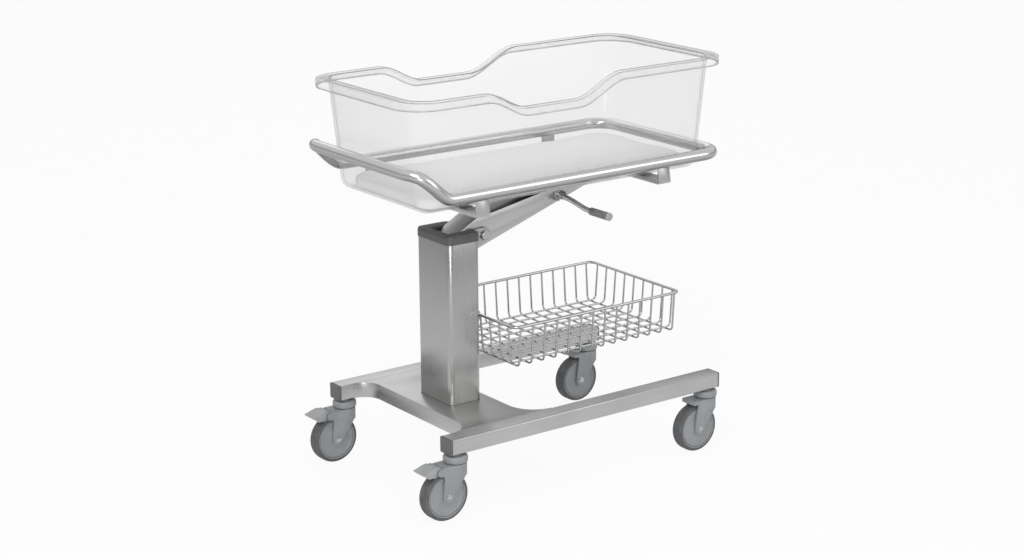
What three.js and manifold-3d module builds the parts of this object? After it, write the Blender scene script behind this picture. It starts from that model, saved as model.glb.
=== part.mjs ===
// Hospital bassinet: a clear tub in a tilting tube cradle on a column with an H base and four casters.
// Millimetres, +Z up. The foot end, with the raised handle and the braked casters, is at -X.
import * as THREE from 'three';
import { mergeVertices } from 'three/addons/utils/BufferGeometryUtils.js';
import Module from 'manifold-3d';

// Side rails, their end caps and the deck between them
const railLength = 680;
const railSpacing = 402;
const railWidth = 38;
const railHeight = 32;
const railWall = 2;
const railEdgeRadius = 3;
const railCapThickness = 4;
const railCapPlug = 14;
const deckFootEdge = -268;
const deckHeadEdge = -131;
const deckFootFillet = 38;
const deckHeadFillet = 60;
const deckSheet = 2;

// Casters
const wheelDiameter = 100;
const tyreWidth = 28;
const tyreDepth = 7;
const tyreShoulder = 6;
const hubRingWidth = 4;
const hubRecess = 2;
const hubRimInset = 0.5;
const wheelSideGap = 1.5;
const wheelTopGap = 2.5;
const casterTrail = 29;
const casterInset = 22;
const forkCheek = 4;
const forkCrown = 9.5;
const forkHeadDiameter = 45;
const forkHeadDepth = 24;
const forkArmEnd = 12;
const forkArmNeck = 8;
const forkArmTop = 33;
const forkCrownTail = 46;
const forkTailLip = 8;
const swivelGap = 1.5;
const swivelStemDiameter = 14;
const swivelStemLength = 9;
const collarDiameter = 49;
const collarHeight = 14;
const collarRound = 5;
const collarNeckDiameter = 24;
const collarNeckHeight = 4.5;
const axleDiameter = 8;
const axleHeadDiameter = 14;
const axleHeadHeight = 3;

// Brake pedals on the two foot-end casters
const pedalReach = 39;
const pedalPivotBack = 17;
const pedalPivotAbove = 53;
const pedalPivotPin = 5;
const pedalBossRadius = 7;
const pedalSideGap = 1;
const pedalBillGap = 2;
const pedalTyreGap = 2;
const pedalCrestRise = 13;
const pedalCrestBack = 3;
const pedalBrow = 17;
const pedalTipRise = 5;
const pedalTipSlope = 6;
const pedalTipEdge = 2.5;
const pedalJawBack = 26;
const pedalJawDrop = 6.5;
const pedalBillWidth = 37;
const shoeAngles = [121.5, 106.5];

// Column and its cap
const columnX = -190;
const columnLength = 75;
const columnDepth = 114;
const columnHeight = 330;
const columnWall = 2.5;
const columnCornerRadius = 11;
const capHeight = 18;
const capOverhang = 1.5;
const capPlug = 12;
const capRim = 14;
const capEdge = 3;

// Tilt pivot, arm and gas spring
const tiltLimit = 12;
const pivotFromColumn = 26.5;
const pivotAboveColumn = 4;
const pivotPinDiameter = 12;
const pivotHeadDiameter = 20;
const pivotHeadHeight = 5;
const lugThickness = 6;
const lugEnd = 14;
const lugDrop = 26;
const lugSlope = 25;
const armWidth = 59;
const armSheet = 2.5;
const armSideGap = 1.5;
const armSwingGap = 9;
const armTailReach = 80;
const armTailDepth = 17;
const armCreaseBack = 18;
const armCreaseRise = 33;
const armCoverDrop = 0.551;
const armKneeBack = 24;
const armKneeDrop = 31.5;
const armLowerSlope = 0.335;
const armUpperSlope = 0.18;
const armPivotTube = 20;
const tailPinBack = 54;
const tailPinDrop = 4;
const tailPinDiameter = 8;
const rodEyeDiameter = 20;
const rodEyeWidth = 12;
const rodEyePlay = 2.5;
const rodDiameter = 10;
const rodLength = 130;
const cylinderDiameter = 24;
const cylinderLength = 145;
const cylinderFloor = 12;
const cylinderChamfer = 3;
const cylinderBelowRod = 40;
const springSeatHeight = 14;
const springSeatWidth = 30;

// Cradle: bent tube loop, two cross straps and the spine under them
const tubeDiameter = 24;
const loopWidth = 385;
const loopHeadX = 354;
const loopFootX = -393;
const loopZ = 628;
const loopRise = 53;
const loopRiseLength = 83;
const loopCorner = 45;
const strapFootX = -241;
const strapHeadX = 205;
const strapWidth = 31;
const strapBar = 9;
const strapPlate = 6;
const strapDrop = 45;
const spineWidth = 60;
const spineHeight = 20;
const spineSheet = 3;

// Release lever on the near side of the arm
const leverX = 60;
const leverRise = 52;
const leverStandOff = 12;
const leverPinDiameter = 6;
const leverEyeDiameter = 14;
const leverEyeWidth = 12;
const leverEarThickness = 3;
const leverEarMargin = 2;
const leverPinProud = 1.5;
const leverRodDiameter = 11;
const leverReach = 158;
const leverSlopeReach = 96;
const leverSlopeDrop = 12;
const gripDiameter = 16;
const gripLength = 56;
const gripCapDiameter = 17;
const gripCapLength = 4;

// Tub
const tubHeadX = 383;
const tubFootX = -398;
const tubWidth = 382;
const tubWall = 4;
const tubEndFlange = 26;
const tubSideFlange = 17;
const tubLip = 17;
const tubEndDraft = 20;
const tubSideDraft = 18;
const tubCorner = 66;
const tubFloorRadius = 24;
const tubHeadHeight = 231;
const tubDipHeight = 188;
const tubFootHeight = 223;
const tubHeadRiseX = 95;
const tubDipHeadX = 5;
const tubDipFootX = -135;
const tubFootRiseX = -215;

// Mattress
const mattressThickness = 30;
const mattressCrown = 6;
const mattressEndGap = 14;
const mattressSideGap = 10;
const mattressDrawIn = 5;
const mattressCorner = 45;
const mattressTightCorner = 14;
const mattressFloorInsets = [24, 9];
const mattressSideRings = [[mattressDrawIn, 0.12], [0, 0.42], [1, 0.72], [mattressDrawIn, 0.94]];
const mattressCrownRings = [[12, 0.3], [40, 0.75], [80, 1]];
const mattressStation = 150;

// Wire basket and the bracket that hangs it on the column
const basketFootX = -135;
const basketHeadX = 289;
const basketWidth = 296;
const basketRimZ = 332;
const basketDepth = 83;
const basketTaper = 5;
const basketCorner = 14;
const crossWireInset = 14;
const longWireInset = 23;
const basketBend = 10;
const rimWire = 6;
const meshWire = 4;
const crossWires = 14;
const longWires = 9;
const bracketSheet = 3;
const bracketHook = 6;

// Clearances
const seatGap = 0.3;
const fitGap = 0.3;
const weldGap = 0.2;
const lap = 1;

// Shared positions worked out from the sizes above
const wheelRadius = wheelDiameter / 2;
const forkTop = wheelDiameter + wheelTopGap + forkCrown;
const collarBottom = forkTop + swivelGap;
const railBottom = collarBottom + collarHeight + collarNeckHeight;
const railTop = railBottom + railHeight;
const railY = railSpacing / 2;
const swivelX = railLength / 2 - casterInset;
const forkInner = tyreWidth / 2 + wheelSideGap;
const forkOuter = forkInner + forkCheek;
const columnTop = railTop + columnHeight;
const columnHeadFace = columnX + columnLength / 2;
const columnFootFace = columnX - columnLength / 2;
const pivotX = columnHeadFace + pivotFromColumn;
const pivotZ = columnTop + pivotAboveColumn;
const armSlot = armWidth / 2 + armSideGap;
const tubeRadius = tubeDiameter / 2;
const strapBottom = loopZ - strapDrop;
const strapTop = strapBottom + strapBar;
const spineBottom = strapBottom - spineHeight;
const tubBottom = strapTop + seatGap;
const armTailX = pivotX - armTailReach;
const armCreaseX = pivotX - armCreaseBack;
const armKneeX = pivotX - armKneeBack;
const tailPinX = pivotX - tailPinBack;
const tailPinZ = pivotZ - tailPinDrop;
const rodBottom = tailPinZ - rodEyeDiameter / 2 - rodLength;
const cylinderBottom = rodBottom - cylinderBelowRod;
const pedalTipX = -swivelX - casterTrail - pedalPivotBack - pedalReach;
const footEnd = Math.min(pedalTipX, loopFootX - tubeRadius, tubFootX);
const headEnd = Math.max(loopHeadX + tubeRadius, tubHeadX, railLength / 2);
const frameShift = -(footEnd + headEnd) / 2;

const wasm = await Module();
wasm.setup();

// Solids and cuts

function weld(geometry) {
  geometry.deleteAttribute('normal');
  geometry.deleteAttribute('uv');
  return mergeVertices(geometry, 1e-4);
}

function toSolid(geometry) {
  const welded = weld(geometry);
  return new wasm.Manifold(new wasm.Mesh({
    numProp: 3,
    vertProperties: new Float32Array(welded.attributes.position.array),
    triVerts: new Uint32Array(welded.index.array),
  }));
}

function toGeometry(solid) {
  const mesh = solid.getMesh();
  const geometry = new THREE.BufferGeometry();
  const positions = new Float32Array(mesh.numVert * 3);
  for (let vertex = 0; vertex < mesh.numVert; vertex++) {
    for (let axis = 0; axis < 3; axis++) {
      positions[vertex * 3 + axis] = mesh.vertProperties[vertex * mesh.numProp + axis];
    }
  }
  geometry.setAttribute('position', new THREE.BufferAttribute(positions, 3));
  geometry.setIndex(new THREE.BufferAttribute(new Uint32Array(mesh.triVerts), 1));
  geometry.computeVertexNormals();
  return geometry;
}

function join(...geometries) {
  return toGeometry(geometries.map(toSolid).reduce((whole, piece) => whole.add(piece)));
}

function cut(geometry, ...tools) {
  return toGeometry(tools.map(toSolid).reduce((whole, tool) => whole.subtract(tool), toSolid(geometry)));
}

// Outlines and basic forms

function polygon(points) {
  return new THREE.Shape(points.map(([x, y]) => new THREE.Vector2(x, y)));
}

function roundedRect(x0, y0, x1, y1, radius) {
  const shape = new THREE.Shape();
  shape.absarc(x1 - radius, y0 + radius, radius, -Math.PI / 2, 0);
  shape.absarc(x1 - radius, y1 - radius, radius, 0, Math.PI / 2);
  shape.absarc(x0 + radius, y1 - radius, radius, Math.PI / 2, Math.PI);
  shape.absarc(x0 + radius, y0 + radius, radius, Math.PI, 1.5 * Math.PI);
  return shape;
}

// Extrudes an outline drawn in X and Y upward from one height to another.
function extrudeUp(shape, bottom, top, curveSegments = 5) {
  const geometry = new THREE.ExtrudeGeometry(shape, { depth: top - bottom, bevelEnabled: false, curveSegments });
  return geometry.translate(0, 0, bottom);
}

// Extrudes an outline drawn in X and Z across the width, between two Y values.
function extrudeAcross(shape, nearY, farY, curveSegments = 6) {
  const geometry = new THREE.ExtrudeGeometry(shape, { depth: farY - nearY, bevelEnabled: false, curveSegments });
  return geometry.rotateX(Math.PI / 2).translate(0, farY, 0);
}

// Extrudes an outline drawn in Y and Z along the length, between two X values.
function extrudeAlong(shape, footX, headX, curveSegments = 4) {
  const geometry = new THREE.ExtrudeGeometry(shape, { depth: headX - footX, bevelEnabled: false, curveSegments });
  return geometry.rotateX(Math.PI / 2).rotateZ(Math.PI / 2).translate(footX, 0, 0);
}

function boxBetween(low, high) {
  const size = high.map((value, axis) => value - low[axis]);
  const centre = high.map((value, axis) => (value + low[axis]) / 2);
  return new THREE.BoxGeometry(...size).translate(...centre);
}

function rodAcross(x, z, radius, nearY, farY, sides = 20) {
  return new THREE.CylinderGeometry(radius, radius, farY - nearY, sides).translate(x, (nearY + farY) / 2, z);
}

function rodAlong(y, z, radius, footX, headX, sides = 16) {
  const geometry = new THREE.CylinderGeometry(radius, radius, headX - footX, sides).rotateZ(Math.PI / 2);
  return geometry.translate((footX + headX) / 2, y, z);
}

function rodUp(x, y, radius, bottom, top, sides = 20) {
  const geometry = new THREE.CylinderGeometry(radius, radius, top - bottom, sides).rotateX(Math.PI / 2);
  return geometry.translate(x, y, (bottom + top) / 2);
}

// Revolves a profile of radius and height pairs about the vertical axis.
function revolveUp(profile, sides) {
  const points = profile.map(([radius, height]) => new THREE.Vector2(radius, height));
  return new THREE.LatheGeometry(points, sides).rotateX(Math.PI / 2);
}

// Revolves a profile of radius and side distance pairs about a wheel's axle.
function revolveWheel(profile, sides) {
  return new THREE.LatheGeometry(profile.map(([radius, side]) => new THREE.Vector2(radius, side)), sides);
}

// A path whose rings stand exactly on the given points.
class RingPath extends THREE.Curve {
  constructor(points, closed = false) {
    super();
    this.points = points;
    this.spans = closed ? points.length : points.length - 1;
    this.closedLoop = closed;
  }

  at(index) {
    const count = this.points.length;
    return this.points[this.closedLoop ? (index + count) % count : Math.min(Math.max(index, 0), count - 1)];
  }

  getPoint(t, target = new THREE.Vector3()) {
    const place = t * this.spans;
    const index = Math.min(Math.floor(place), this.spans - 1);
    return target.lerpVectors(this.at(index), this.at(index + 1), place - index);
  }

  getPointAt(u, target) {
    return this.getPoint(u, target);
  }

  getTangentAt(u, target = new THREE.Vector3()) {
    const index = Math.round(u * this.spans);
    return target.subVectors(this.at(index + 1), this.at(index - 1)).normalize();
  }
}

function circleSection(radius, sides) {
  const section = new THREE.Shape();
  for (let side = 0; side < sides; side++) {
    const angle = (2 * Math.PI * side) / sides;
    const corner = [radius * Math.cos(angle), radius * Math.sin(angle)];
    section[side === 0 ? 'moveTo' : 'lineTo'](...corner);
  }
  return section;
}

function tubeAlong(points, radius, sides) {
  const extrudePath = new RingPath(points);
  return new THREE.ExtrudeGeometry(circleSection(radius, sides), { steps: points.length - 1, extrudePath });
}

function tubeLoop(points, radius, sides) {
  return new THREE.TubeGeometry(new RingPath(points, true), points.length, radius, sides, true);
}

// Points round an upright rounded rectangle, with extra stations along its two long sides.
function ringOutline(footX, headX, halfWidth, radius, cornerSteps, stations = []) {
  const points = [];
  const corners = [
    [headX - radius, radius - halfWidth, -Math.PI / 2],
    [headX - radius, halfWidth - radius, 0],
    [footX + radius, halfWidth - radius, Math.PI / 2],
    [footX + radius, radius - halfWidth, Math.PI],
  ];
  const between = stations.filter((x) => x > footX + radius + 1 && x < headX - radius - 1);
  corners.forEach(([x, y, start], corner) => {
    for (let step = 0; step <= cornerSteps; step++) {
      const angle = start + (Math.PI / 2) * (step / cornerSteps);
      points.push(new THREE.Vector2(x + radius * Math.cos(angle), y + radius * Math.sin(angle)));
    }
    if (corner === 1) {
      [...between].reverse().forEach((station) => points.push(new THREE.Vector2(station, halfWidth)));
    }
    if (corner === 3) {
      between.forEach((station) => points.push(new THREE.Vector2(station, -halfWidth)));
    }
  });
  return points;
}

// Skins a stack of equal rings and closes both ends with a fan to the ring's middle.
function loft(rings) {
  const count = rings[0].length;
  const positions = [];
  const index = [];
  rings.flat().forEach((point) => positions.push(point.x, point.y, point.z));
  for (let ring = 0; ring + 1 < rings.length; ring++) {
    for (let step = 0; step < count; step++) {
      const a = ring * count + step;
      const b = ring * count + (step + 1) % count;
      index.push(a, b, b + count, a, b + count, a + count);
    }
  }
  [rings[0], rings[rings.length - 1]].forEach((ring, end) => {
    const middle = ring.reduce((sum, point) => sum.add(point), new THREE.Vector3()).divideScalar(count);
    const centre = positions.length / 3;
    positions.push(middle.x, middle.y, middle.z);
    const first = end === 0 ? 0 : (rings.length - 1) * count;
    for (let step = 0; step < count; step++) {
      const a = first + step;
      const b = first + (step + 1) % count;
      index.push(...(end === 0 ? [centre, b, a] : [centre, a, b]));
    }
  });
  const geometry = new THREE.BufferGeometry();
  geometry.setAttribute('position', new THREE.Float32BufferAttribute(positions, 3));
  geometry.setIndex(index);
  geometry.computeVertexNormals();
  return geometry;
}

function smoothStep(value) {
  const t = Math.min(Math.max(value, 0), 1);
  return t * t * (3 - 2 * t);
}

// Finishes

const finishes = {
  stainless: { color: 0xa9a9a6, roughness: 0.34, metalness: 0.9 },
  polished: { color: 0xc4c6c8, roughness: 0.18, metalness: 1 },
  greyPlastic: { color: 0x8e9298, roughness: 0.55, metalness: 0 },
  lightPlastic: { color: 0xb2b5b5, roughness: 0.5, metalness: 0 },
  darkPlastic: { color: 0x4b4d50, roughness: 0.6, metalness: 0 },
  tyreRubber: { color: 0x3a3b3e, roughness: 0.75, metalness: 0 },
  paintedSteel: { color: 0x2c2d2f, roughness: 0.45, metalness: 0.2 },
  clearPlastic: { color: 0xf0f2f2, roughness: 0.08, metalness: 0, transparent: true, opacity: 0.35 },
  mattressCover: { color: 0xf4f4f2, roughness: 0.8, metalness: 0 },
};

function piece(name, geometry, finish) {
  const mesh = new THREE.Mesh(geometry, new THREE.MeshStandardMaterial(finishes[finish]));
  mesh.name = name;
  return mesh;
}

// Base

function sideRail() {
  const outer = roundedRect(-railWidth / 2, railBottom, railWidth / 2, railTop, railEdgeRadius);
  const inner = roundedRect(
    railWall - railWidth / 2,
    railBottom + railWall,
    railWidth / 2 - railWall,
    railTop - railWall,
    railEdgeRadius / 2,
  );
  outer.holes.push(inner);
  const end = railLength / 2 - railCapThickness;
  return extrudeAlong(outer, -end, end, 3);
}

// The cap for the head end of a rail, its plug toward the foot.
function railEndCap() {
  const plugGap = railWall + fitGap;
  const face = railLength / 2 - railCapThickness;
  const flange = extrudeAlong(
    roundedRect(-railWidth / 2, railBottom, railWidth / 2, railTop, railEdgeRadius),
    face + fitGap,
    railLength / 2,
    3,
  );
  const half = railWidth / 2 - plugGap;
  const plug = extrudeAlong(
    roundedRect(-half, railBottom + plugGap, half, railTop - plugGap, railEdgeRadius / 2),
    face - railCapPlug,
    face + fitGap + railCapThickness / 2,
    3,
  );
  return join(flange, plug);
}

// The deck's outline, flaring into the rails by a fillet at each corner. Inset draws in the skirts only.
function deckOutline(inset) {
  const side = railY - railWidth / 2;
  const foot = deckFootEdge + inset;
  const head = deckHeadEdge - inset;
  const footFillet = deckFootFillet + inset;
  const headFillet = deckHeadFillet + inset;
  const shape = new THREE.Shape();
  shape.absarc(head + headFillet, headFillet - side, headFillet, 1.5 * Math.PI, Math.PI, true);
  shape.absarc(head + headFillet, side - headFillet, headFillet, Math.PI, Math.PI / 2, true);
  shape.absarc(foot - footFillet, side - footFillet, footFillet, Math.PI / 2, 0, true);
  shape.absarc(foot - footFillet, footFillet - side, footFillet, 0, -Math.PI / 2, true);
  return shape;
}

function baseDeck() {
  const arcSteps = 6;
  const body = extrudeUp(deckOutline(0), railBottom, railTop, arcSteps);
  const pocket = extrudeUp(deckOutline(deckSheet), railBottom - 1, railTop - deckSheet, arcSteps);
  const middle = boxBetween(
    [-railLength, -railY + railWidth / 2 + deckSheet, 0],
    [railLength, railY - railWidth / 2 - deckSheet, railTop],
  );
  return toGeometry(toSolid(body).subtract(toSolid(pocket).intersect(toSolid(middle))));
}

// Column

function columnOutline(inset, overhang = 0) {
  const grow = overhang - inset;
  return roundedRect(
    columnFootFace - grow,
    -columnDepth / 2 - grow,
    columnHeadFace + grow,
    columnDepth / 2 + grow,
    columnCornerRadius + grow,
  );
}

// Height of the arm's lower edge, which runs straight from the knee to the spine.
function armLowerEdge(x) {
  return pivotZ - armKneeDrop + armLowerSlope * (x - pivotX + armKneeBack);
}

function column() {
  const outline = columnOutline(0);
  outline.holes.push(columnOutline(columnWall));
  const tilt = THREE.MathUtils.degToRad(tiltLimit);
  const slotBottom = armLowerEdge(columnHeadFace) - pivotFromColumn * Math.sin(tilt) - armSwingGap;
  const slot = boxBetween(
    [columnHeadFace - columnLength / 4, -armSlot, slotBottom],
    [columnHeadFace + columnWall, armSlot, columnTop + lap],
  );
  return cut(extrudeUp(outline, railTop, columnTop), slot);
}

function columnCap() {
  const top = columnTop + capHeight;
  const skirt = extrudeUp(columnOutline(0, capOverhang), columnTop + seatGap, top - capEdge, 3);
  const lid = extrudeUp(columnOutline(0, capOverhang - capEdge / 2), top - capEdge - lap, top, 3);
  const plug = extrudeUp(columnOutline(columnWall + fitGap), columnTop - capPlug, columnTop + lap, 3);
  const mouth = boxBetween(
    [columnFootFace + columnWall + capRim, -armSlot, columnTop - capPlug - lap],
    [columnHeadFace + 2 * columnWall, armSlot, top + lap],
  );
  return cut(join(skirt, lid, plug), mouth);
}

function springSeat() {
  const reach = columnDepth / 2 - columnWall - seatGap;
  const width = springSeatWidth / 2;
  const top = cylinderBottom - seatGap;
  return boxBetween([tailPinX - width, -reach, top - springSeatHeight], [tailPinX + width, reach, top]);
}

// Pivot lug welded to the column's head face: a round nose on a sloping root. The far one is this one shifted across.
function pivotLug() {
  const root = columnHeadFace + seatGap;
  const capFace = root + capOverhang;
  const slope = THREE.MathUtils.degToRad(lugSlope);
  const outline = new THREE.Shape();
  outline.moveTo(root, columnTop - seatGap);
  outline.lineTo(root, pivotZ - lugDrop);
  outline.absarc(pivotX, pivotZ, lugEnd, slope - Math.PI / 2, Math.PI / 2);
  outline.lineTo(capFace, pivotZ + lugEnd);
  outline.lineTo(capFace, columnTop - seatGap);
  const plate = extrudeAcross(outline, -armSlot - lugThickness, -armSlot);
  const bore = rodAcross(pivotX, pivotZ, pivotPinDiameter / 2 + fitGap, -columnDepth, columnDepth);
  return cut(plate, bore);
}

function pivotPin() {
  const face = armSlot + lugThickness + seatGap;
  return join(
    rodAcross(pivotX, pivotZ, pivotPinDiameter / 2, -face - lap, face + lap, 16),
    rodAcross(pivotX, pivotZ, pivotHeadDiameter / 2, -face - pivotHeadHeight, -face, 20),
    rodAcross(pivotX, pivotZ, pivotHeadDiameter / 2, face, face + pivotHeadHeight, 20),
  );
}

// Gas spring

function gasCylinder() {
  const top = cylinderBottom + cylinderLength;
  const floor = cylinderBottom + cylinderFloor;
  const radius = cylinderDiameter / 2;
  const bore = rodDiameter / 2 + fitGap;
  const profile = [
    [0, cylinderBottom], [radius, cylinderBottom], [radius, top - cylinderChamfer],
    [radius - cylinderChamfer, top], [bore, top], [bore, floor], [0, floor],
  ];
  return revolveUp(profile, 20).translate(tailPinX, 0, 0);
}

function gasRod() {
  const eye = rodAcross(tailPinX, tailPinZ, rodEyeDiameter / 2, -rodEyeWidth / 2, rodEyeWidth / 2);
  const top = tailPinZ - tailPinDiameter;
  const rod = rodUp(tailPinX, 0, rodDiameter / 2, rodBottom, top);
  const hole = rodAcross(tailPinX, tailPinZ, tailPinDiameter / 2 + rodEyePlay, -rodEyeWidth, rodEyeWidth);
  return cut(join(eye, rod), hole);
}

// Tilting arm

// The arm's upper line from the spine to the tail, set lower by a drop.
function armUpperLine(tailX, drop) {
  const creaseZ = pivotZ + armCreaseRise - drop;
  const topZ = spineBottom - seatGap - drop;
  const seatX = armCreaseX + (topZ - creaseZ) / armUpperSlope;
  const tailZ = creaseZ - armCoverDrop * (armCreaseX - tailX);
  return [[seatX, topZ], [armCreaseX, creaseZ], [tailX, tailZ]];
}

const armTipX = armKneeX + (spineBottom - pivotZ + armKneeDrop) / armLowerSlope;

function armOutline() {
  const upper = armUpperLine(armTailX, 0);
  const [seat, , tail] = upper;
  return polygon([
    [armTailX, tail[1] - armTailDepth],
    [armKneeX, pivotZ - armKneeDrop],
    [armTipX, seat[1]],
    ...upper,
  ]);
}

// The space inside the arm, open below and at the tail.
function armHollow() {
  const upper = armUpperLine(armTailX - lap, armSheet);
  const endX = armTipX - armWidth / 2;
  const below = pivotZ - 3 * armKneeDrop;
  return polygon([[armTailX - lap, below], [endX, below], [endX, upper[0][1]], ...upper]);
}

function tiltArm() {
  const half = armWidth / 2;
  const shell = extrudeAcross(armOutline(), -half, half);
  const hollow = extrudeAcross(armHollow(), armSheet - half, half - armSheet);
  const pivotTube = rodAcross(pivotX, pivotZ, armPivotTube / 2, -half, half);
  const pivotBore = rodAcross(pivotX, pivotZ, pivotPinDiameter / 2 + fitGap, -armWidth, armWidth);
  const tailBore = rodAcross(tailPinX, tailPinZ, tailPinDiameter / 2 + fitGap, -armWidth, armWidth, 16);
  return cut(join(cut(shell, hollow), pivotTube), pivotBore, tailBore);
}

function tailPin() {
  return rodAcross(tailPinX, tailPinZ, tailPinDiameter / 2, -armWidth / 2, armWidth / 2, 16);
}

// Cradle

function loopPath() {
  const riseStart = loopFootX + loopRiseLength;
  const stations = [];
  const steps = 4;
  for (let step = 0; step < steps; step++) {
    stations.push(loopFootX + loopCorner + (loopRiseLength - loopCorner) * ((step + 1) / steps));
  }
  const outline = ringOutline(loopFootX, loopHeadX, loopWidth / 2, loopCorner, 7, stations);
  return outline.map(({ x, y }) => {
    const rise = loopRise * smoothStep((riseStart - x) / loopRiseLength);
    return new THREE.Vector3(x, y, loopZ + rise);
  });
}

function cradleLoop() {
  return tubeLoop(loopPath(), tubeRadius, 12);
}

function crossStrap(x) {
  const reach = loopWidth / 2 + strapPlate / 2;
  const plateTop = loopZ - tubeRadius - seatGap;
  const bend = strapBar / 2;
  const shape = new THREE.Shape();
  shape.moveTo(-reach, plateTop);
  shape.absarc(bend - reach, strapBottom + bend, bend, Math.PI, 1.5 * Math.PI);
  shape.absarc(reach - bend, strapBottom + bend, bend, 1.5 * Math.PI, 2 * Math.PI);
  shape.lineTo(reach, plateTop);
  shape.lineTo(reach - strapPlate, plateTop);
  shape.lineTo(reach - strapPlate, strapTop);
  shape.lineTo(strapPlate - reach, strapTop);
  shape.lineTo(strapPlate - reach, plateTop);
  return extrudeAlong(shape, x - strapWidth / 2, x + strapWidth / 2);
}

function cradleSpine() {
  const half = spineWidth / 2;
  const top = strapBottom - seatGap;
  const channel = polygon([
    [-half, spineBottom], [half, spineBottom], [half, top], [half - spineSheet, top],
    [half - spineSheet, spineBottom + spineSheet], [spineSheet - half, spineBottom + spineSheet],
    [spineSheet - half, top], [-half, top],
  ]);
  return extrudeAlong(channel, strapFootX - strapWidth / 2, strapHeadX + strapWidth / 2);
}

// Release lever, hinged in two ears on the near side of the arm

const leverY = -armWidth / 2 - leverStandOff;
const leverZ = pivotZ + leverRise;
const leverTipY = leverY - leverReach;
const leverGripZ = leverZ - leverSlopeDrop;

function leverBore() {
  const reach = leverEyeWidth + leverEarThickness;
  return rodAlong(leverY, leverZ, leverPinDiameter / 2 + fitGap, leverX - reach, leverX + reach);
}

function leverBracket() {
  const plateFar = -armWidth / 2 - seatGap;
  const earInner = leverEyeWidth / 2 + seatGap;
  const earOuter = earInner + leverEarThickness;
  const tall = leverEyeDiameter / 2 + leverEarMargin;
  const floorZ = Math.max(leverZ - tall, armLowerEdge(leverX) + leverEarMargin / 2);
  const ear = new THREE.Shape();
  ear.moveTo(plateFar, floorZ);
  ear.lineTo(plateFar, leverZ + tall);
  ear.lineTo(leverY, leverZ + tall);
  ear.absarc(leverY, leverZ, tall, Math.PI / 2, 1.5 * Math.PI);
  const ears = [-earOuter, earInner].map((side) =>
    extrudeAlong(ear, leverX + side, leverX + side + leverEarThickness));
  const plate = boxBetween(
    [leverX - earOuter, plateFar - leverEarThickness, floorZ],
    [leverX + earOuter, plateFar, leverZ + tall],
  );
  return cut(join(plate, ...ears), leverBore());
}

function leverPin() {
  const reach = leverEyeWidth / 2 + seatGap + leverEarThickness + leverPinProud;
  return rodAlong(leverY, leverZ, leverPinDiameter / 2, leverX - reach, leverX + reach);
}

function releaseLever() {
  const half = leverEyeWidth / 2;
  const eye = rodAlong(leverY, leverZ, leverEyeDiameter / 2, leverX - half, leverX + half, 20);
  const bendY = leverY - leverSlopeReach;
  const points = [];
  const steps = 6;
  points.push(new THREE.Vector3(leverX, leverY - leverPinDiameter, leverZ));
  for (let step = 0; step <= steps; step++) {
    const t = step / steps;
    const y = leverY - leverEyeDiameter + (bendY - leverY + leverEyeDiameter) * t;
    points.push(new THREE.Vector3(leverX, y, leverZ - leverSlopeDrop * smoothStep(t)));
  }
  points.push(new THREE.Vector3(leverX, leverTipY + gripCapLength + seatGap, leverGripZ));
  return cut(join(eye, tubeAlong(points, leverRodDiameter / 2, 12)), leverBore());
}

function leverGrip() {
  const far = leverTipY + gripCapLength + gripLength;
  const near = leverTipY + gripCapLength + seatGap;
  const sleeve = rodAcross(leverX, leverGripZ, gripDiameter / 2, near, far, 20);
  const bore = rodAcross(leverX, leverGripZ, leverRodDiameter / 2 + fitGap, near - lap, far + lap, 16);
  return cut(sleeve, bore);
}

function gripCap() {
  return rodAcross(leverX, leverGripZ, gripCapDiameter / 2, leverTipY, leverTipY + gripCapLength, 20);
}

// Tub

function tubRimHeight(x) {
  const head = (tubHeadHeight - tubDipHeight) * smoothStep((x - tubDipHeadX) / (tubHeadRiseX - tubDipHeadX));
  const foot = (tubFootHeight - tubDipHeight) * smoothStep((tubDipFootX - x) / (tubDipFootX - tubFootRiseX));
  return tubBottom + tubDipHeight + head + foot;
}

function tubStations() {
  const steps = 7;
  const stations = [];
  for (let step = 0; step <= steps; step++) {
    stations.push(tubFootRiseX + (tubDipFootX - tubFootRiseX) * (step / steps));
  }
  for (let step = 0; step <= steps; step++) {
    stations.push(tubDipHeadX + (tubHeadRiseX - tubDipHeadX) * (step / steps));
  }
  return stations;
}

// One ring of the tub. Flange and draft say what share of the flange and of the walls' draft it is drawn in by,
// and height is measured up from the tub's bottom, or down from its rim.
function tubRing({ flange = 0, draft = 0, inset = 0, up, down }) {
  const endInset = flange * tubEndFlange + draft * tubEndDraft + inset;
  const sideInset = flange * tubSideFlange + draft * tubSideDraft + inset;
  const radius = Math.max(tubCorner - sideInset, tubFloorRadius / 2);
  const halfWidth = tubWidth / 2 - sideInset;
  const outline = ringOutline(tubFootX + endInset, tubHeadX - endInset, halfWidth, radius, 5, tubStations());
  return outline.map(({ x, y }) => {
    const z = down === undefined ? tubBottom + up : tubRimHeight(x) - down;
    return new THREE.Vector3(x, y, z);
  });
}

// The rounded turn from the floor into the walls, inside or outside.
function floorCurve(inset, radius, base) {
  const rings = [];
  const steps = 4;
  for (let step = 0; step <= steps; step++) {
    const angle = (Math.PI / 2) * (step / steps);
    const turn = radius * (1 - Math.sin(angle));
    rings.push(tubRing({ flange: 1, draft: 1, inset: inset + turn, up: base + radius * (1 - Math.cos(angle)) }));
  }
  return rings;
}

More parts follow.
